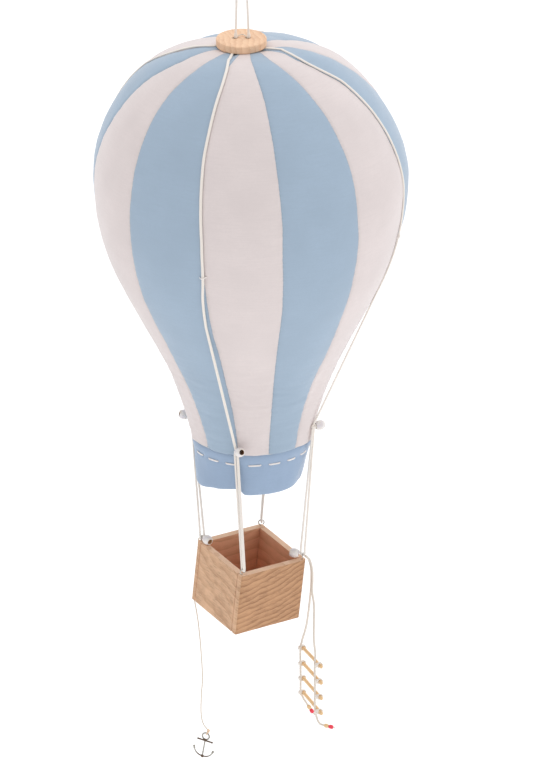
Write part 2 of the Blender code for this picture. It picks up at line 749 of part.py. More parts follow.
def ladder():
    """Four rungs between two ropes that leave the right screw eye side by side."""
    along = facing(RUNG_AZIMUTH)
    for index, (drop, dip) in enumerate(RUNGS):
        place = Vector((*RUNG_AT, FIRST_RUNG_Z - drop))
        rung = add_object(f"ladder_rung_{index + 1}",
                          cylinder_mesh("ladder_rung", RUNG_D / 2, RUNG_L, 10), "rung_wood")
        aim(rung, place, along * RUNG_L - Vector((0, 0, dip)))
    across = facing(RUNG_AZIMUTH - 90.0)
    beside = RUNG_D / 2 + ROPE_D / 2 + GAP
    ropes = (
        ("far", FAR_ROPE_AT, -1, FAR_ROPE_ROUTE, FAR_ROPE_END),
        ("near", NEAR_ROPE_AT, 1, NEAR_ROPE_ROUTE, NEAR_ROPE_END),
    )
    for name, reach, side, route, tail in ropes:
        start = [Vector((x, y, z)) + along * (side * half)
                 for x, y, z, half in LADDER_SHARED_ROUTE]
        column = Vector((*RUNG_AT, 0)) + along * reach + across * beside
        hang = [column + Vector((0, 0, FIRST_RUNG_Z - drop - dip * reach / RUNG_L))
                for drop, dip in RUNGS]
        points = smooth_points(start + list(route) + hang + list(tail), ROPE_POINTS)
        cord(f"ladder_rope_{name}", points, ROPE_D)
        direction = (points[-1] - points[-2]).normalized()
        centre = points[-1] + direction * (GAP + END_BEAD_L / 2)
        for part, finish in (("wood", "rung_wood"), ("red", "red_paint")):
            piece = add_object(f"ladder_end_{part}_{name}",
                               cylinder_mesh("ladder_end", END_BEAD_D / 2, END_BEAD_L, 10), finish)
            aim(piece, centre, direction)
            centre = centre + direction * (END_BEAD_L + GAP)


def build():
    envelope()
    skirt_band()
    crown_disc()
    crown_knot()
    hanging_cord()
    basket()
    frame = BASKET_FRAME.matrix_world.copy()
    rigging(frame)
    stopper_beads()
    axes = anchor_axes()
    anchor(axes)
    anchor_cord(frame, anchor_tie(axes))
    ladder()


clear_scene()
PARTS = new_collection("hot_air_balloon")
HELPERS = new_collection("helpers")
BASKET_FRAME = bpy.data.objects.new("basket_frame", None)
PARTS.objects.link(BASKET_FRAME)
BASKET_FRAME.location = BASKET_AT
BASKET_FRAME.rotation_mode = "ZXY"
BASKET_FRAME.rotation_euler = (radians(BASKET_TILT[0]), radians(BASKET_TILT[1]),
                               radians(BASKET_TURN))
bpy.context.view_layer.update()
build()
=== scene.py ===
"""Toy hot air balloon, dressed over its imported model.

Metres, +Z up, seen from -Y. Azimuths are degrees round the balloon: 0 faces -Y, 90 faces +X.
"""
import bpy
import numpy as np
from math import cos, degrees, pi, radians, sin
from mathutils import Euler, Matrix, Vector, noise


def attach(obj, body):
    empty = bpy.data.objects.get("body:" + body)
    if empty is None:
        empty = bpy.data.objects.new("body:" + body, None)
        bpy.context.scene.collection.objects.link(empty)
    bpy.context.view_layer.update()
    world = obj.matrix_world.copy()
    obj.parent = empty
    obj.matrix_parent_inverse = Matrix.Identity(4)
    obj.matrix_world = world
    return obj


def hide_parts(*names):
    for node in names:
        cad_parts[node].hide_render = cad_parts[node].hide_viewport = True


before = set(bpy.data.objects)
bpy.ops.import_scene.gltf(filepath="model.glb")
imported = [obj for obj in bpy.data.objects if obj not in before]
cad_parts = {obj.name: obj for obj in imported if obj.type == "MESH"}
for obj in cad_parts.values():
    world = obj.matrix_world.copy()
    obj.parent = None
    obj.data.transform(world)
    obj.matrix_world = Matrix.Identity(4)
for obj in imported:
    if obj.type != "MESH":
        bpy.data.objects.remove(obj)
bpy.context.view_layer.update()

GAP = 0.0003
UP = np.array((0, 0, 1.0))

# Camera: fitted to the stripes, disc, basket and cords
IMAGE_H = 762
FOCAL_PX = 5540.0
SENSOR = 36.0
ELEVATION = radians(22.65)
ROLL = radians(0.52)
DISTANCE = 5.0
TARGET = Vector((0.0068, 0.0, -0.33))
AIM_RIGHT, AIM_UP = 0.01254, -0.04503
FLOOR_HALF, FLOOR_Z = 20, -1.4
LAMP_AT, LAMP_AIM = Vector((-0.5, -0.6, 1.9)), Vector((0, 0, -0.3))
LAMP_WIDE, LAMP_WATTS = 1.6, 7.5

# Sizes that the model also has
DISC_X, DISC_TOP, DISC_R, DISC_T = -0.0008, -0.0487, 0.0225, 0.0069
DISC_SINK, DISC_LEAN, DISC_EDGE = 0.0007, radians(2.3), 0.0010
HOLE_X, HOLE_R = 0.0058, 0.00145
LOOP_R, LOOP_TOP = 0.0046, 0.0010
CLOTH_TOP = -0.0500
AXIS_X = 0.0060
WALL = 0.0090
GORES = 12
FIRST_SEAM = -17.3
CROWN = (0.012, -0.0105)
SHOULDER = (0.0809, 0.0048)
EQUATOR = (0.1399, -0.1307)
ABOVE, BELOW = 0.0677, 0.0990
NEAR_MOUTH = (0.0713, -0.2792)
MOUTH = (0.0554, -0.3785)
LEAVE_DROP = 0.232
CORD_START_R, UNDER_DISC_R = 0.0085, 0.0138
SKIRT_TOP_R, SKIRT_HEM_R, SKIRT_TOP = 0.0551, 0.0485, 0.3782
CORD_W, CORD_T = 0.0026, 0.0017
STRAND_T = 0.0019
STRAND_W = {"front": 0.0027, "right": 0.0020, "back": 0.0023, "left": 0.0020}
THREAD_D = 0.0011
ROPE_D = 0.0020
BEAD_L, BEAD_R = 0.0085, 0.0044
KNOT_R, KNOT_TURNS = 0.0018, 2.2
STRAND_OFFSET = 0.0013
BASKET_SIDE, BASKET_H, BOARD_STEP = 0.0727, 0.0623, 0.0011
BOARD_T, FLOOR_T = 0.0062, 0.0050
CORNER_R, LOW_EDGE_R = 0.0027, 0.0012
EYE_R, EYE_WIRE, EYE_INSET, EYE_H = 0.0026, 0.0010, 0.0029, 0.0034
SHANK_L = 0.0055
EYE_REACH = BASKET_SIDE / 2 - EYE_INSET
LINE_SWING = 0.00185
THREAD_IN_EYE, THREAD_IN_BEAD = 0.00118, 0.0013
BASKET = (Matrix.Translation((0.00415, 0.0, -0.54753))
          @ Euler((radians(5.19), radians(5.96), radians(34.87)), "ZXY").to_matrix().to_4x4())
ANCHOR_AT = Vector((-0.0403, 0.012, -0.7444))
ANCHOR_TURN, ANCHOR_TILT = radians(-20.0), radians(10.3)
ANCHOR_RING_R, ANCHOR_WIRE = 0.0034, 0.0014
ANCHOR_STOCK_DROP, ANCHOR_STOCK_HALF, ANCHOR_LENGTH = 0.0047, 0.0070, 0.0214
ANCHOR_TIP = (0.0095, -0.0138)
TIE_ANGLE = radians(14.0)
TIE_R, TIE_WIRE, TIE_KNOT_RISE = 0.00185, 0.0009, 0.0043
RUNG_R, RUNG_L = 0.00165, 0.0465
RUNG_AT = (0.0588, -0.0100)
RUNG_AZIMUTH = 21.8
FIRST_RUNG_Z = -0.6525
RUNGS = ((0.0, 0.0), (0.0163, 0.0008), (0.0318, 0.0014), (0.0470, 0.0020))
END_BEAD_L = 0.0042
# Beads: length, radius, radius at the ends, radius of the hole
WHITE_BEAD = (BEAD_L, BEAD_R, 0.0033, 0.0023)
END_BEAD = (END_BEAD_L, 0.0019, 0.0015, 0.0006)

# Each corner: name, azimuth and height of its knot, azimuth and rise its bead points to, how far
# the bead stands off, corner of the basket in half sides, azimuth that its eye's hole faces
CORNERS = (
    ("front", -14.8, -0.4241, 28.0, 20.0, 0.0032, (-1, -1), 35.0),
    ("right", 63.7, -0.4126, 118.0, 0.0, 0.0024, (1, -1), 86.0),
    ("back", 163.0, -0.4180, 160.0, 0.0, 0.0021, (1, 1), 4.0),
    ("left", -110.9, -0.4223, -85.0, 16.0, 0.0032, (-1, 1), 82.0),
)
STOPPERS = (("left", (-0.0319, 0.0263), (0, -1)), ("right", (0.0278, -0.0280), (-1, 1)))
ANCHOR_CORD_OVER_RIM = (
    (-0.0336, 0.0364, 0.0016), (-0.0334, 0.0379, 0.0004), (-0.0331, 0.0382, -0.0030),
    (-0.0330, 0.0379, -0.0120), (-0.0330, 0.0377, -0.0330), (-0.0328, 0.0377, -0.0590),
)
ANCHOR_CORD_ROUTE = (
    (-0.0487, 0.0172, -0.6095), (-0.0468, 0.0160, -0.6220), (-0.0453, 0.0140, -0.6353),
    (-0.0437, 0.0120, -0.6569), (-0.0427, 0.0120, -0.6833), (-0.0438, 0.0120, -0.6993),
    (-0.0445, 0.0120, -0.7180), (-0.0430, 0.0118, -0.7300),
)
LADDER_SHARED_ROUTE = (
    (0.0529, -0.0088, -0.5502, 0.0012), (0.0550, -0.0092, -0.5512, 0.0012),
    (0.0574, -0.0095, -0.5552, 0.0012), (0.0591, -0.0096, -0.5642, 0.0012),
    (0.0592, -0.0090, -0.5750, 0.0013), (0.0588, -0.0082, -0.5860, 0.0017),
)
# Each rope: name, place along the rungs, side at the eye, its route, its end
ROPES = (
    ("far", -0.0205, -1,
     ((0.0561, -0.0020, -0.6092), (0.0537, 0.0040, -0.6284), (0.0502, 0.0090, -0.6440)),
     ((0.0494, 0.0088, -0.7010), (0.0515, 0.0080, -0.7050), (0.0549, 0.0068, -0.7102))),
    ("near", 0.0140, 1,
     ((0.0610, -0.0125, -0.5990), (0.0608, -0.0175, -0.6140), (0.0606, -0.0208, -0.6291),
      (0.0618, -0.0226, -0.6430)),
     ((0.0626, -0.0232, -0.7070), (0.0640, -0.0242, -0.7114), (0.0664, -0.0252, -0.7142),
      (0.0695, -0.0263, -0.7148))),
)

# How far each rope's rung knots sit beyond it along the rungs
KNOT_SLID = {"far": -0.0010, "near": 0.0046}

# How far each seam strays from its even place: millimetres down the cloth, degrees
SEAM_DRIFT = {
    0: ((20, -4.2), (38, -4.6), (42, -3.6), (48, -2.6), (63, -1.1), (110, -1.1), (135, -1.4),
        (172, -0.8), (210, -0.3), (253, -0.8), (284, -0.9), (320, -0.8), (339, -0.2),
        (376, 0.2), (395, 0.8), (413, 1.8), (430, 2.4), (445, 3.0)),
    1: ((21, -10.5), (37, -7.9), (49, -6.8), (61, -5.5), (78, -4.1), (95, -3.5), (121, -2.7),
        (170, -1.7), (195, -1.2), (222, -1.2), (250, -0.6), (283, 0.1), (319, 0.1),
        (358, 0.6), (395, 1.8), (446, 2.8)),
    2: ((6, -11.4), (18, -13.0), (25, -14.2), (43, -11.1), (56, -8.4), (67, -7.1), (77, -5.9),
        (87, -4.8), (104, -2.8), (132, -1.2), (158, -0.4), (196, -0.3), (223, 0.4),
        (252, 0.8), (284, 1.9), (319, 2.7), (355, 3.9), (390, 3.7), (422, 3.2), (454, 2.6)),
    3: ((20, -11.0), (27, -14.0), (33, -16.8), (40, -16.0), (49, -14.2), (60, -12.0),
        (70, -9.2), (81, -5.5), (91, -4.6), (105, -3.1), (121, -1.2), (140, 0.0),
        (172, 1.5), (202, 2.6), (225, 3.6), (250, 5.8), (275, 8.2), (305, 10.3),
        (345, 11.5), (464, 11.0)),
    4: ((20, -11.7), (34, -16.1), (51, -12.8), (67, -10.5), (87, -7.8), (100, -6.4),
        (120, -3.0), (160, 0.0), (200, 3.0), (300, 6.0)),
    5: ((17, 2.1), (24, -1.1), (39, -5.2), (53, -6.0), (75, -4.0), (120, 0.0)),
    6: ((35, 12.0), (50, 10.0), (70, 6.0), (90, 2.0), (120, 0.0)),
    7: ((20, 0.0),),
    8: ((35, -12.0), (50, -10.0), (70, -6.0), (90, -2.0), (120, 0.0)),
    9: ((20, 13.0), (35, 11.0), (50, 11.0), (70, 6.5), (90, 0.0), (160, -3.0), (200, -5.0),
        (310, -5.0), (360, -4.0)),
    10: ((29, 0.9), (49, 4.2), (66, 2.6), (79, 0.5), (102, -1.1), (121, -2.4), (139, -4.0),
         (158, -6.2), (180, -8.2), (205, -9.8), (240, -11.0)),
    11: ((33, -2.2), (48, -1.8), (62, -2.3), (83, -3.4), (116, -2.9), (173, -2.2),
         (226, -2.6), (256, -3.5), (287, -4.6), (322, -5.6), (392, -5.3), (407, -4.1),
         (423, -3.5), (454, -1.8)),
}
# Where each long cord lies on the cloth: millimetres down the cloth, azimuth
CORD_LINES = {
    "front": ((22, -30.1), (27, -27.8), (31, -25.7), (34, -23.9), (38, -22.7), (42, -21.3),
              (48, -20.1), (55, -19.3), (63, -18.6), (110, -18.6), (135, -18.9), (172, -18.3),
              (210, -17.8), (238, -18.0), (253, -18.4), (269, -19.3), (285, -19.8),
              (307, -20.3)),
    "right": ((16, 75.9), (22, 67.2), (29, 62.5), (36, 59.6), (49, 58.3), (60, 60.5), (70, 63.3),
              (81, 67.0), (91, 68.0), (105, 69.4), (121, 71.2), (140, 72.5), (172, 74.0),
              (202, 75.1), (307, 75.6)),
    "back": ((22, 184.0), (35, 180.0), (50, 176.0), (75, 169.0), (100, 164.0), (120, 162.7)),
    "left": ((22, -93.9), (34, -96.2), (57, -97.0), (72, -101.1), (85, -106.0), (100, -108.0),
             (160, -110.0), (307, -111.0)),
}
# The front cord bends under the disc: azimuth and reach of the bend
UNDER_FRONT = (-26.0, 0.0180)
TACK_AT = 0.245

# Looks: threads to a metre, how far puckers reach from a seam, dashes to a metre of wood
THREADS = 560.0
PUCKER_REACH = 0.0042
DASH_SCALE = (130.0, 130.0, 620.0)


# Meshes

class Shape:
    """Vertices, faces and texture coordinates gathered before they become one object."""

    def __init__(self):
        self.verts = []
        self.faces = []
        self.uvs = []
        self.looks = []
        self.count = 0

    def add(self, verts, faces, uvs=None, look=0):
        self.verts.append(np.asarray(verts, dtype=float).reshape(-1, 3))
        for face in faces:
            self.faces.append([i + self.count for i in face])
        self.uvs += [(0.0, 0.0)] * sum(len(f) for f in faces) if uvs is None else uvs
        looks = [look] * len(faces) if isinstance(look, int) else look
        self.looks += looks
        self.count += len(self.verts[-1])
        return self

    def cord(self, *route, **how):
        return self.add(*sweep(*route, **how))

    def turn(self, *profile):
        return self.add(*turned(*profile))

    def build(self, name, looks, sharp=None, matrix=None):
        mesh = bpy.data.meshes.new(name)
        mesh.from_pydata(np.concatenate(self.verts).tolist(), [], self.faces)
        layer = mesh.uv_layers.new(name="weave")
        layer.data.foreach_set("uv", np.array(self.uvs, dtype=float).ravel())
        mesh.polygons.foreach_set("material_index", self.looks)
        for look in looks:
            mesh.materials.append(look)
        mesh.shade_smooth()
        if sharp:
            mesh.set_sharp_from_angle(angle=radians(sharp))
        mesh.update()
        obj = bpy.data.objects.new(name, mesh)
        bpy.context.scene.collection.objects.link(obj)
        if matrix is not None:
            obj.matrix_world = matrix
        return obj


def put(obj, nodes, body="balloon"):
    """The piece rides its body and stands for its nodes."""
    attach(obj, body)
    if nodes:
        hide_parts(*nodes)
    return obj


def cotton(shape, name, look, *nodes):
    """A piece of cord on the balloon."""
    return put(shape.build(name, [look]), nodes)


def settle(obj):
    """Makes what the modifiers give the piece's own mesh."""
    bpy.context.view_layer.update()
    seen = obj.evaluated_get(bpy.context.evaluated_depsgraph_get())
    mesh = bpy.data.meshes.new_from_object(seen)
    obj.modifiers.clear()
    obj.data = mesh


def pointed(direction, place):
    """Places a piece with its own Z along a direction."""
    turn = Vector(direction).to_track_quat("Z", "Y").to_matrix().to_4x4()
    turn.translation = place
    return turn


def facing(azimuth):
    turn = radians(azimuth)
    return np.array((sin(turn), -cos(turn), 0.0))


def unit(v):
    v = np.asarray(v, dtype=float)
    return v / np.maximum(np.linalg.norm(v, axis=-1, keepdims=True), 1e-12)


def arc_lengths(points):
    steps = np.linalg.norm(np.diff(points, axis=0), axis=1)
    return np.concatenate(([0.0], np.cumsum(steps)))


def smooth_points(route, step):
    """Evenly spaced points on a smooth curve through the route's points."""
    knots = np.array([tuple(p) for p in route], dtype=float)
    knots = np.vstack((2 * knots[0] - knots[1], knots, 2 * knots[-1] - knots[-2]))
    dense = []
    for before, start, end, after in zip(knots, knots[1:], knots[2:], knots[3:]):
        for t in np.linspace(0, 1, 12, endpoint=False):
            dense.append(bezier((start, start + (end - before) / 6,
                                 end - (after - start) / 6, end), t))
    dense.append(knots[-2])
    return resample(np.array(dense), step)


def resample(points, step):
    travelled = arc_lengths(points)
    count = max(int(travelled[-1] / step) + 1, 3)
    wanted = np.linspace(0, travelled[-1], count)
    return np.stack([np.interp(wanted, travelled, points[:, k]) for k in range(3)], axis=1)


def bezier(p, t):
    a, b, c, d = (np.asarray(q, dtype=float) for q in p)
    return (1 - t) ** 3 * a + 3 * (1 - t) ** 2 * t * b + 3 * (1 - t) * t * t * c + t ** 3 * d


def sweep(points, width, depth=None, outward=None, sides=12, plies=0, pitch=0.004, relief=0.1,
          taper=0.72, closed=False):
    """A round or flattened cord along its points: vertices, faces and coordinates in metres."""
    p = np.asarray(points, dtype=float)
    n = len(p)
    if closed:
        t = unit(np.roll(p, -1, axis=0) - np.roll(p, 1, axis=0))
    else:
        t = unit(np.gradient(p, axis=0))
    if outward is None:
        out = np.zeros_like(p)
        first = np.cross(t[0], (0.3, 1.0, 0.2))
        out[0] = unit(first)
        for i in range(1, n):
            out[i] = unit(out[i - 1] - np.dot(out[i - 1], t[i]) * t[i])
    else:
        out = np.broadcast_to(np.asarray(outward, dtype=float), p.shape)
        out = unit(out - np.sum(out * t, axis=1, keepdims=True) * t)
    across = np.cross(t, out)
    s = arc_lengths(p)
    phi = np.linspace(0, 2 * pi, sides, endpoint=False)
    size = np.ones((n, sides))
    if plies:
        turn = plies / 2 * (phi[None, :] - 2 * pi * s[:, None] / pitch)
        size += relief * (np.abs(np.cos(turn)) - 0.64)
    if not closed:
        size[0] *= taper
        size[-1] *= taper
    half_w = width / 2
    half_d = (depth or width) / 2
    verts = (p[:, None, :] + across[:, None, :] * (half_w * np.cos(phi)[None, :] * size)[..., None]
             + out[:, None, :] * (half_d * np.sin(phi)[None, :] * size)[..., None])
    round_about = np.arange(sides + 1) / sides * pi * (half_w + half_d)
    faces, uvs = [], []
    for i in range(n if closed else n - 1):
        low, high = i * sides, ((i + 1) % n) * sides
        v0 = s[i]
        v1 = s[i + 1] if i + 1 < n else s[i] + s[1]
        for j in range(sides):
            k = (j + 1) % sides
            faces.append((low + j, low + k, high + k, high + j))
            u0, u1 = round_about[j], round_about[j + 1]
            uvs += [(u0, v0), (u1, v0), (u1, v1), (u0, v1)]
    verts = verts.reshape(-1, 3)
    if not closed:
        ends = np.array([p[0] - t[0] * half_d * 0.3, p[-1] + t[-1] * half_d * 0.3])
        verts = np.vstack((verts, ends))
        first, last = n * sides, n * sides + 1
        for j in range(sides):
            k = (j + 1) % sides
            faces.append((first, k, j))
            faces.append((last, (n - 1) * sides + j, (n - 1) * sides + k))
            uvs += [(0, 0), (round_about[j + 1], 0), (round_about[j], 0)]
            uvs += [(0, s[-1]), (round_about[j], s[-1]), (round_about[j + 1], s[-1])]
    return verts, faces, uvs


def turned(profile, steps, wobble=0.0, seed=0.0):
    """A profile of (radius, height, look) turned about Z; a radius of 0 makes a pole."""
    verts, rings = [], []
    for r, z, _ in profile:
        if r == 0:
            rings.append([len(verts)] * steps)
            verts.append((0, 0, z))
            continue
        rings.append(list(range(len(verts), len(verts) + steps)))
        for j in range(steps):
            a = 2 * pi * j / steps
            r2 = r * (1 + wobble * noise.noise(Vector((cos(a) * 1.3, sin(a) * 1.3,
                                                       z * 300 + seed))))
            verts.append((r2 * cos(a), r2 * sin(a), z))
    faces, uvs, which = [], [], []
    loop = len(profile) if profile[0][0] else len(profile) - 1
    for i in range(loop):
        a, b = rings[i], rings[(i + 1) % len(profile)]
        for j in range(steps):
            k = (j + 1) % steps
            face = []
            for v in (a[j], a[k], b[k], b[j]):
                if v not in face:
                    face.append(v)
            if len(face) < 3:
                continue
            faces.append(face[::-1])
            uvs += [(verts[v][0], verts[v][1]) for v in face[::-1]]
            which.append(profile[i][2])
    return np.array(verts), faces, uvs, which


# Looks

class Look:
    """The shader nodes of a material, or of the world."""

    def __init__(self, owner):
        owner.use_nodes = True
        self.owner = owner
        self.tree = owner.node_tree

    def feed(self, node, key, value):
        """Sets an input to a number, or links it to another node's output."""
        if isinstance(value, bpy.types.NodeSocket):
            self.tree.links.new(value, node.inputs[key])
        else:
            node.inputs[key].default_value = value

    def add(self, kind, values=None, **props):
        node = self.tree.nodes.new("ShaderNode" + kind)
        for key, value in props.items():
            setattr(node, key, value)
        for key, value in (values or {}).items():
            self.feed(node, key, value)
        return node

    def place(self):
        return self.add("TexCoord").outputs["Object"]

    def map_of(self, name):
        return self.add("UVMap", uv_map=name).outputs[0]

    def parts(self, vector):
        return self.add("SeparateXYZ", {0: vector}).outputs

    def mapped(self, vector, scale, shift=(0.0, 0.0, 0.0), tilt=0.0):
        return self.add("Mapping", {0: vector, 1: shift, 2: (0.0, tilt, 0.0), 3: scale}).outputs[0]

    def noise(self, vector, scale, detail, **more):
        return self.add("TexNoise", {"Vector": vector, "Scale": scale, "Detail": detail,
                                     **more}).outputs[0]

    def maths(self, operation, a, b=0.0, c=0.0):
        return self.add("Math", {0: a, 1: b, 2: c}, operation=operation).outputs[0]

    def ramp(self, value, low, high, to_low=0.0, to_high=1.0):
        return self.add("MapRange", {"Value": value, "From Min": low, "From Max": high,
                                     "To Min": to_low, "To Max": to_high}).outputs[0]

    def mixed(self, amount, a, b):
        """A colour between a and b."""
        a, b = (c if isinstance(c, bpy.types.NodeSocket) else (*c, 1.0) for c in (a, b))
        return self.add("Mix", {"Factor": amount, 6: a, 7: b}, data_type="RGBA").outputs[2]

    def tinted(self, tone, rows):
        """The tone, mixed in turn with each row's colour by a mask's ramp between two amounts."""
        for mask, low, high, start, end, colour in rows:
            tone = self.mixed(self.ramp(mask, low, high, start, end), tone, colour)
        return tone

    def surface(self, tone, height, strength, depth, roughness=None):
        """Feeds the shader its colour, its bump and, where given, its roughness."""
        bump = self.add("Bump", {"Strength": strength, "Distance": depth, "Height": height})
        self.feed(self.shader, "Base Color", tone)
        self.feed(self.shader, "Normal", bump.outputs[0])
        if roughness is not None:
            self.feed(self.shader, "Roughness", roughness)
        return self.owner


def material(name, colour, roughness, **sockets):
    look = Look(bpy.data.materials.new(name))
    look.shader = look.tree.nodes["Principled BSDF"]
    look.feed(look.shader, "Base Color", (*colour, 1.0))
    look.feed(look.shader, "Roughness", roughness)
    for key, value in sockets.items():
        look.feed(look.shader, key.replace("_", " "), value)
    return look


def shade(colour, factor):
    return tuple(min(c * factor, 1.0) for c in colour)


def cloth(name, colour, line=0.3, stitched=False):
    """Plain-woven cotton: threads, slubs, faint blotches and, beside a seam, its puckers; painted
    shade darkens the weave's hollows, the puckers and the seam's groove.
    """
    look = material(name, colour, 0.85, Sheen_Weight=0.5, Sheen_Roughness=0.35,
                    Specular_IOR_Level=0.2)
    weave = look.map_of("weave")
    place = look.place()
    ways = [look.add("TexWave", {"Vector": weave, "Scale": THREADS, "Distortion": 1.2,
                                 "Detail Scale": 90.0}, bands_direction=way).outputs["Fac"]
            for way in "XY"]
    threads = look.maths("ADD", *ways)
    slubs = look.noise(place, 420.0, 3.0)
    picks = look.noise(look.mapped(place, (60.0, 60.0, 900.0)), 1.0, 2.0)
    blotch = look.noise(place, 26.0, 4.0)
    tone = look.mixed(look.ramp(blotch, 0.3, 0.7), shade(colour, 0.955), shade(colour, 1.03))
    # Slubs and picks are the cotton's own uneven tone; the threads row is painted shade, darker in
    # the weave's hollows.
    tone = look.tinted(tone, ((slubs, 0.35, 0.75, 0.0, 0.35, shade(colour, 0.93)),
                              (picks, 0.45, 0.7, 0.0, 0.4, shade(colour, 0.93)),
                              (threads, 0.2, 1.6, 0.22, 0.0, shade(colour, 0.8))))
    height = look.maths("MULTIPLY_ADD", threads, 0.5, look.maths("MULTIPLY", slubs, 0.8))
    height = look.maths("MULTIPLY_ADD", picks, 1.2, height)
    if stitched:
        off, along, _ = look.parts(look.map_of("seam"))
        beat = look.add("CombineXYZ", {0: look.maths("MULTIPLY", along, 430.0),
                                       1: look.maths("MULTIPLY", off, 90.0)})
        tuck = look.noise(beat.outputs[0], 1.0, 1.0)
        near = look.ramp(off, 0.0002, PUCKER_REACH, 1.0, 0.0)
        pucker = look.maths("MULTIPLY", near, look.ramp(tuck, 0.35, 0.65))
        reach = look.ramp(tuck, 0.35, 0.65, 0.0004, 0.0010)
        fold = look.maths("SUBTRACT", 1.0, look.maths("DIVIDE", off, reach))
        fold = look.maths("MAXIMUM", fold, 0.0)
        # Painted shade: the puckers' dimples are darkened, and fold paints a shadow along the
        # seam's groove, as dark as line sets.
        tone = look.mixed(look.maths("MULTIPLY", pucker, 0.16), tone, shade(colour, 0.72))
        tone = look.mixed(look.maths("MULTIPLY", fold, line), tone, shade(colour, 0.6))
        height = look.maths("MULTIPLY_ADD", pucker, -2.4, height)
    return look.surface(tone, height, 0.5, 0.00009)


def braid(name, colour, pitch=0.0026, wide=0.0008):
    """Soft cotton cord: plaited strands crossing both ways, with fine fibres, and painted shade in
    the hollows between strands.
    """
    look = material(name, colour, 0.9, Sheen_Weight=0.4, Sheen_Roughness=0.5,
                    Specular_IOR_Level=0.15)
    across, along, _ = look.parts(look.map_of("weave"))
    u = look.maths("DIVIDE", across, wide)
    v = look.maths("DIVIDE", along, pitch)
    one = look.maths("PINGPONG", look.maths("ADD", u, v), 0.5)
    two = look.maths("PINGPONG", look.maths("SUBTRACT", v, u), 0.5)
    cross = look.maths("MAXIMUM", one, two)
    place = look.place()
    fibre = look.noise(place, 2600.0, 3.0)
    blotch = look.noise(place, 120.0, 2.0)
    # Painted shade: where cross is low, between the strands, the cord is darker.
    tone = look.mixed(look.ramp(cross, 0.1, 0.45), shade(colour, 0.90), shade(colour, 1.04))
    tone = look.tinted(tone, ((blotch, 0.35, 0.7, 0.0, 0.3, shade(colour, 0.94)),))
    return look.surface(tone, look.maths("MULTIPLY_ADD", fibre, 0.5, cross), 0.6, 0.00014)


def wood(name, colour, dark, centre, scale, depth=0.0002, distortion=3.0, roughness=0.55,
         stretch=(1.0, 1.0, 1.0), axis="Y", pores=0.5, drawn_out=(60.0, 60.0, 1500.0), hard=2.2,
         patchy=0.4, tilt=0.0, streak=0.0, stains=()):
    """Grain as the rings of a trunk whose axis lies at a centre, with pores along X."""
    look = material(name, colour, roughness, Specular_IOR_Level=0.35)
    place = look.place()
    moved = look.mapped(place, stretch, centre, tilt)
    rings = look.add("TexWave", {"Vector": moved, "Scale": scale, "Distortion": distortion,
                                 "Detail": 3.0, "Detail Scale": 0.35, "Detail Roughness": 0.6},
                     wave_type="RINGS", rings_direction=axis, wave_profile="SAW").outputs["Fac"]
    late = look.maths("POWER", look.ramp(rings, 0.25, 0.98), hard)
    leaned = look.mapped(place, (1.0, 1.0, 1.0), tilt=tilt)
    pore = look.noise(look.mapped(leaned, drawn_out), 1.0, 4.0)
    blotch = look.noise(place, 45.0, 3.0, Distortion=0.6)
    dash = look.noise(look.mapped(leaned, DASH_SCALE), 1.0, 5.0, Roughness=0.65, Distortion=0.4)
    tone = look.mixed(late, colour, dark)
    tone = look.tinted(tone, ((dash, 0.50, 0.66, 0.0, streak, shade(dark, 0.8)),
                              (dash, 0.36, 0.46, streak * 0.5, 0.0, shade(colour, 1.15)),
                              (pore, 0.5, 0.72, 0.0, pores, shade(dark, 0.88)),
                              (blotch, 0.42, 0.72, 0.0, patchy, shade(colour, 1.2))))
    for side in stains:
        off = look.add("VectorMath", {0: place, 1: (side, 0.0, 0.0)},
                       operation="DISTANCE").outputs["Value"]
        rough = look.maths("MULTIPLY_ADD", dash, 0.0022, off)
        tone = look.tinted(tone, ((rough, 0.0026, 0.0044, 0.8, 0.0, shade(dark, 0.28)),))
    height = look.maths("MULTIPLY_ADD", pore, -0.35, look.maths("SUBTRACT", 1.0, late))
    return look.surface(tone, height, 0.9, depth,
                        look.ramp(late, 0.0, 1.0, roughness, roughness + 0.15))


def paint(name, colour, second, third, roughness, worn=0.12):
    """Brushed paint over turned wood: uneven patches, faint ridges and thin spots."""
    look = material(name, colour, roughness, Specular_IOR_Level=0.4, Coat_Weight=0.1,
                    Coat_Roughness=0.4)
    place = look.place()
    grain = look.noise(place, 900.0, 4.0)
    patch = look.noise(place, 260.0, 2.0)
    other = look.add("TexNoise", {"Vector": place, "Scale": 190.0, "Detail": 2.0}).outputs[1]
    warm = look.add("SeparateColor", {0: other}).outputs[1]
    tone = look.mixed(look.ramp(patch, 0.42, 0.62), colour, second)
    tone = look.tinted(tone, ((warm, 0.45, 0.65, 0.0, 0.6, third),
                              (grain, 0.62, 0.74, 0.0, worn, shade(colour, 0.6))))
    return look.surface(tone, grain, 0.35, 0.0001)


def metal(name, colour, patch_colour, roughness, metallic, patchy, scale, stained=()):
    """Metal with duller patches, a lightly pitted skin and stains at heights along it."""
    look = material(name, colour, roughness, Metallic=metallic)
    place = look.place()
    patch = look.noise(place, scale, 4.0)
    pits = look.noise(place, 2400.0, 2.0)
    amount = look.ramp(patch, 0.42, 0.62, 0.0, patchy)
    height = look.parts(place)[2]
    for at, reach in stained:
        off = look.maths("ABSOLUTE", look.maths("SUBTRACT", height, at))
        amount = look.maths("MAXIMUM", amount, look.ramp(off, reach * 0.5, reach, 0.95, 0.0))
    return look.surface(look.mixed(amount, colour, patch_colour), pits, 0.4, 0.00008,
                        look.ramp(patch, 0.3, 0.7, roughness, roughness + 0.25))
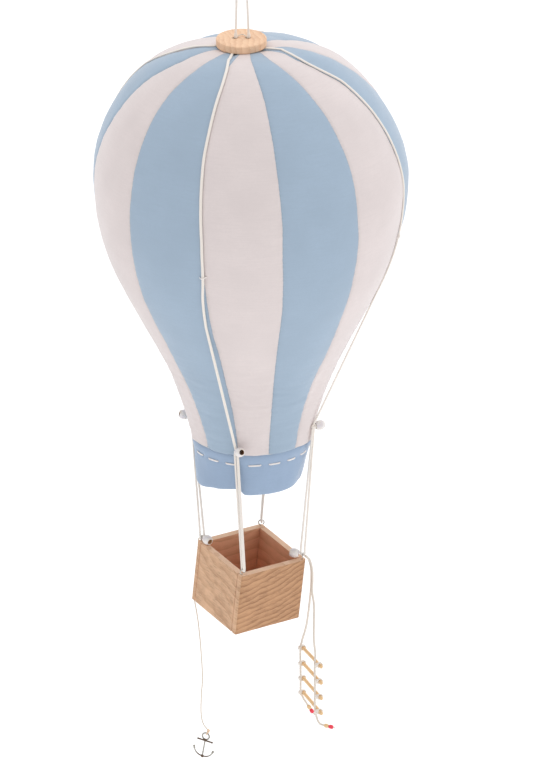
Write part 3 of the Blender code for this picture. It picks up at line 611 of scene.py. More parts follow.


# The third number of each seamed cloth sets how dark its painted seam shadow is.
BLUE = cloth("blue_cotton", (0.390, 0.493, 0.608), 0.5, True)
WHITE = cloth("white_cotton", (0.775, 0.695, 0.682), 0.2, True)
SKIRT_BLUE = cloth("skirt_cotton", (0.350, 0.455, 0.610))
LINING = cloth("lining_cotton", (0.80, 0.77, 0.74))
CORD = braid("cotton_braid", (0.89, 0.83, 0.765))
ROPE = braid("rope_braid", (0.80, 0.73, 0.65))
THREAD = braid("cotton_thread", (0.76, 0.68, 0.58), 0.0016, 0.0006)
TIE = braid("tie_thread", (0.90, 0.66, 0.46), 0.0014, 0.0005)
STITCH = braid("stitch_thread", (0.93, 0.87, 0.83), 0.0014, 0.0005)
PAINT = paint("white_bead_paint", (0.87, 0.84, 0.81), (0.77, 0.72, 0.75), (0.81, 0.71, 0.61), 0.5)
RED = paint("red_bead_paint", (0.90, 0.05, 0.09), (0.82, 0.04, 0.07), (0.94, 0.07, 0.11), 0.35,
            0.06)
# Raw wood in the holes: the first, paler, is the wood as it is; the second is the same wood
# darkened, painted shade deep inside the beads' and the disc's holes.
RAW_PALE = wood("pale_bead_wood", (0.66, 0.40, 0.20), (0.40, 0.22, 0.10), (0, 0, 0), 90.0, 0.0001)
RAW_SHADED = wood("shaded_raw_wood", (0.36, 0.20, 0.10), (0.16, 0.08, 0.04), (0, 0, 0), 90.0, 0.0001)
DISC_WOOD = wood("disc_plywood", (0.86, 0.58, 0.385), (0.77, 0.475, 0.295), (0.25, 0.06, 0.0),
                 60.0, 0.00003, 14.0, 0.55, axis="Z", pores=0.5,
                 drawn_out=(900.0, 420.0, 900.0), hard=1.2, streak=0.35,
                 stains=(-HOLE_X, HOLE_X))
OAK = wood("basket_oak", (0.575, 0.32, 0.17), (0.35, 0.17, 0.082), (0.032, 0.0, -0.22),
           58.0, 0.00050, 9.0, pores=0.35, hard=1.6, tilt=radians(8.0), streak=0.5)
OAK_SIDE = wood("basket_oak_side", (0.66, 0.415, 0.255), (0.54, 0.315, 0.185), (0.0, 0.03, -0.05),
                26.0, 0.00015, 14.0, axis="X", pores=0.55, hard=1.0, patchy=0.7, streak=0.9)
OAK_IN = wood("basket_oak_inside", (0.78, 0.42, 0.255), (0.64, 0.33, 0.19), (0.03, 0.0, -0.3),
              30.0, 0.00006, 8.0, 0.6, pores=0.2, hard=1.5, streak=0.25)
OAK_RIM = wood("basket_oak_rim", (0.80, 0.525, 0.35), (0.66, 0.40, 0.25), (0.03, 0.0, -0.3),
               62.0, 0.00008, 6.0, 0.55, pores=0.3, drawn_out=(60.0, 900.0, 900.0), hard=1.6)
RUNG_WOOD = wood("rung_dowel", (0.86, 0.60, 0.33), (0.70, 0.42, 0.20), (0.004, 0.0, 0.0), 160.0,
                 0.00004, 1.5, 0.5, stretch=(1.0, 1.0, 0.08), axis="Z", pores=0.25)
STEEL = metal("plated_steel", (0.56, 0.54, 0.51), (0.33, 0.27, 0.20), 0.28, 1.0, 0.5, 700.0)
BRASS = metal("aged_brass", (0.40, 0.385, 0.34), (0.13, 0.075, 0.045), 0.42, 0.75, 0.35, 260.0,
              ((-0.0040, 0.0016), (-0.0214, 0.0024)))


# Camera, light and surroundings

def camera():
    forward = Vector((0, cos(ELEVATION), -sin(ELEVATION)))
    level_up = Vector((0, sin(ELEVATION), cos(ELEVATION)))
    right = Vector((cos(ROLL), 0, 0)) - level_up * sin(ROLL)
    up = level_up * cos(ROLL) + Vector((sin(ROLL), 0, 0))
    place = TARGET - forward * DISTANCE
    aim = (TARGET + right * AIM_RIGHT + up * AIM_UP - place).normalized()
    side = aim.cross(up).normalized()
    turn = Matrix((side, side.cross(aim), -aim)).transposed().to_4x4()
    turn.translation = place
    obj = bpy.data.objects.new("camera", bpy.data.cameras.new("camera"))
    bpy.context.scene.collection.objects.link(obj)
    obj.matrix_world = turn
    obj.data.sensor_width = SENSOR
    obj.data.lens = FOCAL_PX / IMAGE_H * SENSOR
    bpy.context.scene.camera = obj


def surroundings():
    """A white floor, a soft overhead light, and a bright tent that is dimmer towards the front."""
    scene = bpy.context.scene
    scene.view_settings.view_transform = "Standard"
    scene.world = bpy.data.worlds.new("tent")
    tent = Look(scene.world)
    right, deep, _ = tent.parts(tent.add("TexCoord").outputs["Generated"])
    light = tent.maths("MULTIPLY_ADD", right, 0.22, tent.ramp(deep, -0.9, 0.6, 0.60, 1.22))
    blue = tent.maths("MULTIPLY", light, 1.01)
    colour = tent.add("CombineColor", {0: light, 1: light, 2: blue})
    tent.feed(tent.tree.nodes["Background"], 0, colour.outputs[0])
    corners = [(x * FLOOR_HALF, y * FLOOR_HALF, FLOOR_Z)
               for x, y in ((-1, -1), (1, -1), (1, 1), (-1, 1))]
    white = material("floor_white", (0.92, 0.92, 0.92), 0.9, Emission_Strength=0.27,
                     Emission_Color=(1, 1, 1, 1))
    Shape().add(corners, [(0, 1, 2, 3)]).build("floor", [white.owner])
    lamp = bpy.data.lights.new("softbox", "AREA")
    lamp.shape = "DISK"
    lamp.size = LAMP_WIDE
    lamp.energy = LAMP_WATTS
    soft = bpy.data.objects.new("softbox", lamp)
    scene.collection.objects.link(soft)
    soft.location = LAMP_AT
    aim = LAMP_AIM - soft.location
    soft.rotation_euler = aim.to_track_quat("-Z", "Y").to_euler()


# Envelope

def outer_profile():
    """Radius and height of the cloth's outer face, dense, from the crown to the mouth."""
    above = (EQUATOR[0], EQUATOR[1] + ABOVE)
    below = (EQUATOR[0], EQUATOR[1] - BELOW)
    upper = [bezier((CROWN, SHOULDER, above, EQUATOR), t) for t in np.linspace(0, 1, 300)]
    lower = [bezier((EQUATOR, below, NEAR_MOUTH, MOUTH), t) for t in np.linspace(0, 1, 400)]
    return np.array(upper + lower[1:])


def with_normals(profile):
    """Each point's radius, height, and outward and upward parts of its normal."""
    step = np.gradient(profile, axis=0)
    step /= np.hypot(step[:, 0], step[:, 1])[:, None]
    return np.column_stack((profile, -step[:, 1], step[:, 0]))


# Places across a gore, in shares of its width, close together beside its seams
NEAR_SEAM = np.array((0.0, 0.6, 1.4, 2.6, 4.5, 8.0, 13.0, 20.0, 28.0, 36.65)) / 73.3
ACROSS = np.concatenate((NEAR_SEAM, 1 - NEAR_SEAM[-2:0:-1]))
ROWS, LINING_ROWS, LINING_STEP = 350, 46, 0.009
# The filled cloth: its puff, the dip at a seam, the puckers beside it, lumps and crumples
PUFF, SEAM_DIP, PUCKER, LUMP, CRUMPLE = 0.0013, 0.00042, 0.00032, 0.0011, 0.00035
PROFILE = with_normals(outer_profile())
PROFILE_LENGTH = np.concatenate(([0.0], np.cumsum(np.hypot(*np.diff(PROFILE[:, :2], axis=0).T))))
TOP_ROW = int(np.argmax(PROFILE[:, 1]))
LEAVE_LENGTH = float(np.interp(LEAVE_DROP, -PROFILE[TOP_ROW:, 1], PROFILE_LENGTH[TOP_ROW:]))


def at_length(length):
    return [float(np.interp(length, PROFILE_LENGTH, column)) for column in PROFILE.T]


def cloth_radius(height):
    """Radius of the outer face at a height, below its shoulder."""
    part = PROFILE[TOP_ROW:]
    return np.interp(CLOTH_TOP - height, -part[:, 1], part[:, 0])


def clamped(value):
    return min(max(value, 0.0), 1.0)


def side_shift(length, azimuth):
    """The cloth is drawn in on its right and let out a little on its left."""
    amount = np.interp(length, (0.030, 0.060, 0.130, 0.190), (0.0, 1.0, 1.0, 0.0))
    across = sin(radians(azimuth))
    return amount * (-0.0024 * max(0.0, across) ** 2 + 0.0010 * max(0.0, -across) ** 2)


def back_sag(length, azimuth):
    """The cloth lies a little lower behind the crown."""
    a = abs((azimuth + 180.0) % 360.0 - 180.0)
    return 0.0027 * np.interp(length, (0.012, 0.030, 0.050, 0.085), (0.0, 1.0, 1.0, 0.0)) * (
        np.interp(a, (100.0, 130.0), (0.0, 1.0)))


def on_cloth(azimuth, length, off):
    """A point off the outer face, and the face's normal there."""
    r, z, nr, nz = at_length(length)
    a = radians(azimuth)
    away = r + side_shift(length, azimuth) + nr * off
    up = CLOTH_TOP + z + nz * off - back_sag(length, azimuth)
    place = np.array((AXIS_X + sin(a) * away, -cos(a) * away, up))
    return place, np.array((sin(a) * nr, -cos(a) * nr, nz))


def eased(pairs, lengths, reach=3):
    """Degrees read from a short table of millimetres and degrees, with its bends rounded."""
    marks, degs = zip(*pairs)
    dense = np.arange(0.0, 480.0, 2.0)
    rough = np.pad(np.interp(dense, marks, degs), reach, mode="edge")
    weights = reach + 1 - np.abs(np.arange(-reach, reach + 1.0))
    soft = np.convolve(rough, weights / weights.sum(), "valid")
    return np.interp(np.asarray(lengths) * 1000.0, dense, soft)


def seam_azimuth(index, lengths):
    return FIRST_SEAM + 360.0 / GORES * index + eased(SEAM_DRIFT[index % GORES], lengths)


def nearest_seam(azimuth):
    """Every third seam carries a long cord."""
    return FIRST_SEAM + 90.0 * round((azimuth - FIRST_SEAM) / 90.0)


def under_disc_lines():
    """Each long cord's straight run between the crown knot and the cloth, seen from above."""
    lines = []
    for name, azimuth, *_ in CORNERS:
        mark, az = CORD_LINES[name][0]
        lines.append((facing(nearest_seam(azimuth))[:2] * CORD_START_R,
                      on_cloth(az, mark / 1000.0, 0.0)[0][:2]))
    return lines


def off_lines(point, lines):
    gap = 1.0
    for a, b in lines:
        t = np.clip(np.dot(point - a, b - a) / np.dot(b - a, b - a), 0.0, 1.0)
        gap = min(gap, float(np.linalg.norm(point - a - (b - a) * t)))
    return gap


def crown_rise(x, y, height, lines):
    """The cloth swells up to meet the disc's edge, except under the cords."""
    rho = np.hypot(x - DISC_X, y)
    if rho > 0.036 or rho < 0.012:
        return 0.0
    share = float(np.interp(rho, (0.012, 0.018, 0.0232, 0.036), (0.0, 1.0, 1.0, 0.0)))
    share = share * share * (3 - 2 * share)
    share *= float(np.interp(y, (-0.019, -0.004), (1.0, 0.0)))
    share *= 1 - np.exp(-(off_lines(np.array((x, y)), lines) / 0.0026) ** 2)
    seat = DISC_TOP - DISC_T - DISC_SINK - 0.0010 - CLOTH_TOP
    return share * max(seat - height, 0.0)


def folds(azimuth, r, length):
    """Soft slanting folds where the cloth narrows to the neck, strongest at its sides."""
    neck = clamped((length - 0.335) / 0.06)
    if neck == 0.0:
        return 0.0
    a = (azimuth + 180.0) % 360.0 - 180.0
    hand = 1.0 if a < 0 else -1.0
    arc = radians(a) * r
    slant = arc - hand * 0.45 * length
    sides = min(max((abs(a) - 25.0) / 30.0, 0.25), 1.0)
    fold = noise.noise(Vector((slant * 95.0, length * 14.0 + hand, 5.0)))
    picks = noise.noise(Vector((sin(radians(a)) * 3.0, cos(radians(a)) * 3.0, length * 230.0)))
    return neck * (0.0017 * sides * fold + 0.00042 * picks)


def seam_lines(lengths, radii):
    """Each gore's left edge by row, a little ragged, in degrees."""
    seams = np.stack([seam_azimuth(g, lengths) for g in range(GORES + 1)], axis=1)
    for i, length in enumerate(lengths):
        for g in range(GORES):
            jag = 0.00022 * noise.noise(Vector((g * 9.1, length * 430.0, 0.5)))
            seams[i, g] += degrees(jag / radii[i])
        seams[i, GORES] = seams[i, 0] + 360.0
    return seams


def padding(g, f, width, length, flat):
    """How far the filled gore stands off its even face: full in the middle, drawn in at seams."""
    full = clamped((length - 0.022) / 0.03)
    off = min(f, 1 - f) * width
    pucker = noise.noise(Vector((g * 7.3 + 31.0 * (f < 0.5), length * 210.0, 0.4)))
    d = full * (PUFF * sin(pi * f) ** 0.7 - 0.0007)
    d -= SEAM_DIP * np.exp(-(off / 0.0011) ** 2) * full
    d += PUCKER * full * pucker * np.exp(-(off / 0.0050) ** 2)
    d += LUMP * full * noise.noise(flat * 17.0)
    d += CRUMPLE * full * noise.noise(flat * 60.0 + Vector((3.0, 1.0, 7.0)))
    return d


def outer_face(lengths, azimuths, width):
    """The filled cloth's points, row by row from the crown to the mouth."""
    lines = under_disc_lines()
    verts = np.zeros((*azimuths.shape, 3))
    for i, length in enumerate(lengths):
        r, z, nr, nz = at_length(length)
        for j, azimuth in enumerate(azimuths[i]):
            g, f = j // len(ACROSS), ACROSS[j % len(ACROSS)]
            a = radians(azimuth)
            d = padding(g, f, width[i, g], length, Vector((sin(a) * r, -cos(a) * r, z)))
            d += folds(azimuth, r, length)
            away = r + nr * d + side_shift(length, azimuth)
            x, y = AXIS_X + sin(a) * away, -cos(a) * away
            up = z + nz * d - back_sag(length, azimuth)
            verts[i, j] = (x, y, CLOTH_TOP + up + crown_rise(x, y, up, lines))
    return verts.reshape(-1, 3)


def lining(azimuths):
    """The mouth's rolled edge and the inner face: radii by row, and points."""
    profile = [(MOUTH[0] - 0.0012, MOUTH[1] - 0.0004), (MOUTH[0] - WALL * 0.5, MOUTH[1] - 0.0002),
               (MOUTH[0] - WALL * 0.93, MOUTH[1] + 0.0008)]
    for length in np.linspace(PROFILE_LENGTH[-1], 0, LINING_ROWS)[1:]:
        r, z, nr, nz = at_length(length)
        profile.append((max(r - nr * WALL, CROWN[0]), z - nz * WALL))
    rows = []
    for k, (r, z) in enumerate(profile):
        turn = np.radians(azimuths[-1] + (azimuths[0] - azimuths[-1]) * min(k / 20.0, 1.0))
        rows.append(np.stack((AXIS_X + np.sin(turn) * r, -np.cos(turn) * r,
                              np.full(len(turn), CLOTH_TOP + z)), axis=1))
    return np.array([r for r, _ in profile]), rows


def envelope():
    """One padded sheet: the outer face with its seams, folded in at the mouth to the lining."""
    lengths = np.linspace(0, PROFILE_LENGTH[-1], ROWS)
    radii = np.array([at_length(x)[0] for x in lengths])
    seams = seam_lines(lengths, radii)
    span = np.diff(seams, axis=1)
    per_gore, cols = len(ACROSS), len(ACROSS) * GORES
    azimuths = (seams[:, :-1, None] + span[:, :, None] * ACROSS).reshape(ROWS, cols)
    width = np.radians(span) * radii[:, None]
    outside = outer_face(lengths, azimuths, width)
    inner_r, inside = lining(azimuths)
    width = np.vstack((width, np.radians(360.0 / GORES) * inner_r[:, None] * np.ones(GORES)))
    past = PROFILE_LENGTH[-1] + LINING_STEP * np.arange(1, len(inner_r) + 1)
    spots = np.concatenate((lengths, past))
    edges = (*ACROSS, 1.0)
    faces, weave, seam, looks = [], [], [], []
    for i, v0 in enumerate(spots):
        ii = (i + 1) % len(spots)
        v1 = spots[ii] if ii else v0 + LINING_STEP
        for j in range(cols):
            jj = (j + 1) % cols
            g = j // per_gore
            f0, f1 = edges[j % per_gore:j % per_gore + 2]
            faces.append((i * cols + j, ii * cols + j, ii * cols + jj, i * cols + jj))
            for f, row, v in ((f0, i, v0), (f0, ii, v1), (f1, ii, v1), (f1, i, v0)):
                weave.append(((f - 0.5) * width[row, g], v))
                seam.append((min(f, 1 - f) * width[row, g], v))
            looks.append(g % 2 if i < ROWS - 1 else 2)
    shape = Shape().add(np.concatenate([outside, *inside]), faces, weave, looks)
    obj = shape.build("envelope", [WHITE, BLUE, LINING])
    layer = obj.data.uv_layers.new(name="seam")
    layer.data.foreach_set("uv", np.array(seam).ravel())
    put(obj, [f"gore_{g + 1:02d}_{'blue' if g % 2 else 'white'}"
                             for g in range(GORES)])


# Skirt

SKIRT_COLS, SKIRT_ROWS, SKIRT_THICK = 230, 22, 0.0017
LAP_AT, LAP_END = -13.2, 353.0
HEM = ((-13.2, 0.4190), (-7.9, 0.4202), (9.5, 0.4204), (32, 0.4207), (61.5, 0.4199), (90, 0.4203),
       (200, 0.4215), (294, 0.4230), (315, 0.4184), (338.6, 0.4158), (353, 0.4156))
DASHES = ((-69.5, -57.5), (-49.0, -36.0), (-28.0, -17.0), (-4.7, 8.2), (15.9, 28.1), (36.7, 47.0),
          (55.6, 68.0), (76.0, 88.4), (96.5, 109.0), (117.0, 129.0), (137.5, 150.0),
          (158.0, 170.3), (178.3, 191.0), (199.0, 211.5), (219.7, 232.0), (240.0, 252.4),
          (260.3, 273.0))
DASH_DROP = 0.3893


def skirt_hem(azimuth):
    """How far the hem hangs below the cloth's top, by azimuth from the overlap's edge."""
    a = azimuth if azimuth >= LAP_AT else azimuth + 360.0
    return float(np.interp(a, *zip(*HEM)))


def skirt_point(azimuth, share, off, hem):
    """A point on the band, from its top seam, 0, to its hem, 1; it tapers more on its right."""
    a = radians(azimuth)
    r = SKIRT_TOP_R + (SKIRT_HEM_R - SKIRT_TOP_R) * share - 0.0006 * sin(pi * share) + off
    r += share * (0.0032 * max(0.0, -sin(a)) ** 2 - 0.0036 * max(0.0, sin(a)) ** 2)
    return (AXIS_X + sin(a) * r, -cos(a) * r, CLOTH_TOP - SKIRT_TOP - (hem - SKIRT_TOP) * share)


def lap_lift(azimuth):
    """The band's end lies over its start."""
    into = azimuth - LAP_AT
    return 0.0016 * max(0.0, 1 - into / 20.0) if 0 <= into < 20 else 0.0


def skirt_off(azimuth, share, drop):
    """How far the band stands off its even taper: puffed, waved, and dented by its stitches."""
    dent = 0.00035 * np.exp(-((drop - DASH_DROP) / 0.0012) ** 2)
    for tip in (tip for dash in DASHES for tip in dash):
        gone = abs((azimuth - tip + 180) % 360 - 180) / 1.3
        if gone < 2.5:
            dent += 0.0007 * np.exp(-gone ** 2 - ((drop - DASH_DROP) / 0.0022) ** 2)
    a = radians(azimuth)
    off = 0.0006 * sin(pi * clamped((drop - SKIRT_TOP) / 0.0111)) - dent + lap_lift(azimuth)
    off += noise.noise(Vector((sin(a) * 2.4, cos(a) * 2.4, share * 1.2))) * 0.0016 * share
    off += 0.0004 * noise.noise(Vector((sin(a) * 7, cos(a) * 7, share * 3 + 5)))
    off -= 0.0010 * max(0.0, 1 - (LAP_END - azimuth) / 14.0)
    return off - 0.0013 * max(0.0, 1 - share / 0.05)


def skirt_stitch(n, start, end):
    """One long running stitch, sunk at both ends."""
    points, outs = [], []
    for t in np.linspace(0, 1, 15):
        azimuth = start + (end - start) * t
        hem = skirt_hem(azimuth)
        share = (DASH_DROP - SKIRT_TOP) / (hem - SKIRT_TOP)
        sink = 0.0011 * (1 - min(1.0, 6 * min(t, 1 - t))) ** 2
        points.append(skirt_point(azimuth, share, 0.0005 + lap_lift(azimuth) - sink, hem))
        outs.append(facing(azimuth))
    shape = Shape().cord(points, 0.0016, 0.0008, outs, 10, 2, 0.003, 0.08)
    return cotton(shape, f"skirt_stitch_{n:02d}", STITCH)


def skirt():
    """A strip of doubled blue cotton, lapped over its own end beside the front cord."""
    cols, rows, ring = SKIRT_COLS, SKIRT_ROWS, 2 * SKIRT_ROWS
    azimuths = np.concatenate((LAP_AT + np.array((0.0, 0.25, 0.6, 1.0, 1.5, 2.1, 2.8, 3.6, 4.5)),
                               np.linspace(LAP_AT + 5.6, LAP_END, cols - 9)))
    verts = np.zeros((cols, ring, 3))
    for j, azimuth in enumerate(azimuths):
        hem = skirt_hem(azimuth)
        if azimuth - LAP_AT < 4.5:
            hem -= 0.0030 * (1 - sin(pi / 2 * (azimuth - LAP_AT) / 4.5))
        for i in range(rows):
            share = i / (rows - 1)
            off = skirt_off(azimuth, share, SKIRT_TOP + (hem - SKIRT_TOP) * share)
            verts[j, i] = skirt_point(azimuth, share, off, hem)
            verts[j, ring - 1 - i] = skirt_point(azimuth, share, off - SKIRT_THICK, hem)
        low = verts[j, rows - 1] - (0, 0, 0.0001)
        verts[j, rows - 1] = low - facing(azimuth) * SKIRT_THICK * 0.22
        verts[j, rows] = low - facing(azimuth) * SKIRT_THICK * 0.78
    faces, uvs = [], []
    around = np.radians(azimuths) * (SKIRT_TOP_R + SKIRT_HEM_R) / 2
    for j in range(cols - 1):
        u0, u1 = around[j], around[j + 1]
        for i in range(ring):
            k = (i + 1) % ring
            faces.append((j * ring + i, j * ring + k, (j + 1) * ring + k, (j + 1) * ring + i))
            v0, v1 = i * 0.0021, (i + 1) * 0.0021
            uvs += [(u0, v0), (u0, v1), (u1, v1), (u1, v0)]
    for j, order in ((0, -1), (cols - 1, 1)):
        for i in range(rows - 1):
            face = [j * ring + k for k in (i, i + 1, ring - 2 - i, ring - 1 - i)]
            faces.append(face[::-order])
            uvs += [(0, 0), (0, 0.002), (0.0017, 0.002), (0.0017, 0)]
    obj = Shape().add(verts.reshape(-1, 3), faces, uvs).build("skirt", [SKIRT_BLUE], 60)
    put(obj, ["skirt_band"])
    dashes = [skirt_stitch(n + 1, *dash) for n, dash in enumerate(DASHES)]


# Cords

def knot(name, place, radius, cord_d, node):
    """Cord wound tightly about itself: a short coil round a thick core."""
    place = np.asarray(place)
    side = unit(np.cross(UP, (0.31, 0.9, 0.2)))
    other = np.cross(UP, side)
    points = []
    for t in np.linspace(0, 1, int(22 * KNOT_TURNS)):
        a = 0.3 + 2 * pi * KNOT_TURNS * t
        rise = (t - 0.5) * (2 * radius - cord_d) * 0.95
        swell = (radius - cord_d * 0.42) * (1 - 0.22 * abs(2 * t - 1) ** 2)
        points.append(place + side * cos(a) * swell + other * sin(a) * swell + UP * rise)
    shape = Shape().cord(points, cord_d, sides=10, plies=3, pitch=cord_d * 2.2, relief=0.12)
    core = [place + UP * radius * s for s in np.linspace(-0.9, 0.9, 7)]
    cotton(shape.cord(core, radius * 1.1, taper=0.6), name, CORD, node)


def rounded(r, z, radius, start, end, count):
    """Profile points on an arc about a radius and height, between two angles."""
    return [(r + radius * cos(radians(a)), z + radius * sin(radians(a)), 0)
            for a in np.linspace(start, end, count)]


def disc():
    """The crown's wooden button, with softened edges and two stained holes, their walls raw wood
    darkened with painted shade.
    """
    inner, low = DISC_R - DISC_EDGE, -DISC_T
    profile = [(0.0, 0.0, 0)]
    profile += [(r, -0.00008 * (r / 0.02) ** 4, 0) for r in (0.004, 0.008, 0.012, 0.016, 0.0200)]
    profile += rounded(inner, -DISC_EDGE, DISC_EDGE, 80, 0, 6)
    profile += rounded(inner, low + DISC_EDGE, DISC_EDGE, 0, -90, 7)
    profile += [(0.012, low, 0), (0.0, low, 0)]
    place = Matrix.Translation((DISC_X, 0, DISC_TOP - DISC_SINK))
    obj = Shape().turn(profile, 72, 0.006).build(
        "disc", [DISC_WOOD, RAW_SHADED], 50, place @ Matrix.Rotation(DISC_LEAN, 4, "X"))
    drill = [(0.0, 0.004, 1), (HOLE_R * 1.35, 0.004, 1), (HOLE_R * 1.35, 0.00035, 1),
             (HOLE_R, -0.0006, 1), (HOLE_R, -0.012, 1), (0.0, -0.012, 1)]
    for side in (-1, 1):
        cutter = Shape().turn(drill, 24).build(
            "hole", [DISC_WOOD, RAW_SHADED], 50, Matrix.Translation((side * HOLE_X, 0, DISC_TOP)))
        cut = obj.modifiers.new("hole", "BOOLEAN")
        cut.operation = "DIFFERENCE"
        cut.object = cutter
        settle(obj)
        bpy.data.objects.remove(cutter, do_unlink=True)
    put(obj, ["crown_disc"])


def disc_thread():
    """The hanging cord's thin bridge from hole to hole."""
    low, high = DISC_TOP - 0.0002, DISC_TOP + 0.0011
    route = [(-HOLE_X + 0.0012, 0.0006, low - 0.001), (-0.0036, 0.0018, low + 0.0005),
             (-0.0010, 0.0034, high), (0.0012, 0.0030, high), (0.0036, 0.0004, low + 0.0006),
             (HOLE_X - 0.0008, -0.0012, low - 0.0008)]
    shape = Shape().cord(smooth_points(route, step=0.0003), 0.0010, sides=9, plies=2,
                         pitch=0.002, relief=0.12)
    cotton(shape, "disc_thread", THREAD)


def hanging_cord():
    """Two strands out of the disc's holes, joined in a loop over the hook."""
    bend = LOOP_TOP - LOOP_R
    left = [(-HOLE_X, 0, DISC_TOP - DISC_T - 0.0012), (-HOLE_X, 0, DISC_TOP - 0.001),
            (-HOLE_X + 0.0001, 0, DISC_TOP + 0.003), (-LOOP_R - 0.0006, 0, -0.030),
            (-LOOP_R, 0, bend - 0.006)]
    arc = [(-LOOP_R * cos(pi * i / 12), 0, bend + LOOP_R * sin(pi * i / 12)) for i in range(13)]
    right = [(-x, y, z) for x, y, z in reversed(left)]
    shape = Shape().cord(smooth_points(left + arc + right, step=0.0006), 0.0023, 0.0020,
                         sides=14, plies=4, pitch=0.006, relief=0.07)
    for side in (-1, 1):
        for width, rise in ((0.0027, 0.0042), (0.0031, 0.0026)):
            base = [(side * HOLE_X * (1 - 0.02 * t), 0, DISC_TOP - 0.0008 + (rise + 0.0008) * t)
                    for t in np.linspace(0, 1, 8)]
            shape.cord(base, width, sides=14, plies=4, pitch=0.006, relief=0.1, taper=0.8)
    cotton(shape, "hanging_cord_loop", CORD, "hanging_cord")


def knot_place(azimuth, z):
    away = cloth_radius(z + KNOT_R) + KNOT_R + 2 * GAP
    return np.array((AXIS_X, 0, z)) + facing(azimuth) * away


def suspension_cord(name, azimuth, z):
    """From under the disc along the seam, then straight down to the knot."""
    height = DISC_TOP - DISC_T - 2 * GAP - 0.0010
    line = CORD_LINES[name]
    start = line[0][0] / 1000.0
    marks = np.concatenate((np.arange(start, 0.060, 0.004), np.linspace(0.060, LEAVE_LENGTH, 34)))
    laid = [on_cloth(az, mark, CORD_T / 2 - 0.0001)
            for mark, az in zip(marks, eased(line, marks, 2))]
    inner = facing(nearest_seam(azimuth)) * CORD_START_R + (0, 0, height)
    way = laid[0][0] - inner
    share = (UNDER_DISC_R - CORD_START_R) / np.linalg.norm(way[:2])
    under = inner + way * (share, share, 0.0)
    if name == "front":
        under = facing(UNDER_FRONT[0]) * UNDER_FRONT[1] + (0, 0, height)
    route = [inner, under] + [place for place, _ in laid]
    normals = [UP] * 2 + [normal for _, normal in laid]
    end = knot_place(azimuth, z) + (0, 0, KNOT_R * 0.8)
    last = route[-1]
    for t in (0.12, 0.3, 0.5, 0.7, 0.88):
        route.append(last + (end - last) * t)
        normals.append(normals[-1] * 0.6 + facing(azimuth) * 0.4)
    route.append(end)
    normals = np.array(normals + [facing(azimuth)])
    points = smooth_points(route, step=0.0011)
    spots, along = arc_lengths(np.array(route)), arc_lengths(points)
    along = along / along[-1] * spots[-1]
    outs = np.stack([np.interp(along, spots, normals[:, k]) for k in range(3)], axis=1)
    shape = Shape().cord(points, CORD_W, CORD_T, outs, sides=14, plies=6, pitch=0.0085,
                         relief=0.05)
    cotton(shape, f"seam_cord_{name}", CORD, f"suspension_cord_{name}")


def seam_tack(name):
    """The stitch that holds a long cord to its seam."""
    azimuth = float(eased(CORD_LINES[name], [TACK_AT], 2)[0])
    spread = degrees(0.0034 / at_length(TACK_AT)[0])
    points, outs = [], []
    for t in np.linspace(-1, 1, 21):
        lift = 0.0003 + (CORD_T + 0.0002) * max(0.0, 1 - (abs(t) / 0.75) ** 4)
        lift -= 0.0012 * max(0.0, abs(t) - 0.85) / 0.15
        place, normal = on_cloth(azimuth + spread * t, TACK_AT - 0.0007 * t, lift)
        points.append(place)
        outs.append(normal)
    shape = Shape().cord(points, 0.0010, 0.0008, outs, 8, 2, 0.002, 0.08)
    cotton(shape, f"seam_tack_{name}", STITCH)


def bead(name, place, direction, node, seed=0.0, size=WHITE_BEAD, looks=(PAINT, RAW_SHADED)):
    """A turned barrel bead: painted outside, its wide hole left raw, by default darkened with
    painted shade.
    """
    length, radius, end_r, hole_r = size
    half = length / 2
    edge = 0.0005 * length / BEAD_L
    profile = [(end_r + (radius - end_r) * (1 - abs(t) ** 2.4), (half - edge) * t, 0)
               for t in np.linspace(1, -1, 15)]
    profile += [(end_r - edge * 0.35, -half + edge * 0.35, 0), (end_r - edge, -half, 0),
                (hole_r + 0.0001, -half, 1), (hole_r, -half + 0.0003, 1), (hole_r, 0.0, 1),
                (hole_r, half - 0.0003, 1), (hole_r + 0.0001, half, 0),
                (end_r - edge, half, 0), (end_r - edge * 0.35, half - edge * 0.35, 0)]
    obj = Shape().turn(profile, 36, 0.02, seed).build(name, looks, 60, pointed(direction, place))
    return put(obj, [node])


def basket_line(name, place, azimuth, wire_top, eye_azimuth):
    """A doubled cord from the knot, round the eye's wire and back."""
    across = facing(eye_azimuth)
    beside = facing(azimuth + 90.0)
    if np.dot(beside, across) < 0:
        beside = -beside
    turn = [wire_top - across * (LINE_SWING * cos(a)) - UP * (LINE_SWING * sin(a))
            for a in np.linspace(0, pi, 9)]
    start = place - UP * (KNOT_R * 0.7)
    first, last = start - beside * STRAND_OFFSET, start + beside * STRAND_OFFSET
    low_a, low_b = (turn[k] + UP * 2 * LINE_SWING for k in (0, -1))
    route = [first + (low_a - first) * t for t in (0.0, 0.25, 0.5, 0.75)] + [low_a] + turn
    route += [low_b + (last - low_b) * t for t in (0.0, 0.25, 0.5, 0.75)] + [last]
    shape = Shape().cord(smooth_points(route, step=0.0007), STRAND_W[name], STRAND_T, sides=12,
                         plies=5, pitch=0.007, relief=0.06)
    cotton(shape, f"basket_cord_{name}", CORD, f"basket_line_{name}")


def screw_eye(name, azimuth, place):
    """Bent wire: most of a ring, its cut end beside a neck that screws into the rim."""
    side = BASKET.inverted().to_3x3() @ Vector(facing(azimuth + 90.0))
    side.z = 0.0
    side = np.array(side.normalized())
    centre = np.array(place)
    route = [centre + side * EYE_R * sin(a) - UP * EYE_R * cos(a)
             for a in np.radians(range(38, 331, 9))]
    route += [centre - side * EYE_R * 0.16 - UP * EYE_R * 1.04, centre - UP * EYE_R * 1.30,
              centre - UP * (EYE_H + 0.002), centre - UP * (EYE_H + SHANK_L)]
    shape = Shape().cord(smooth_points(route, step=0.00035), EYE_WIRE, taper=0.85)
    obj = shape.build(f"wire_eye_{name}", [STEEL], matrix=BASKET)
    put(obj, [f"screw_eye_{name}"])


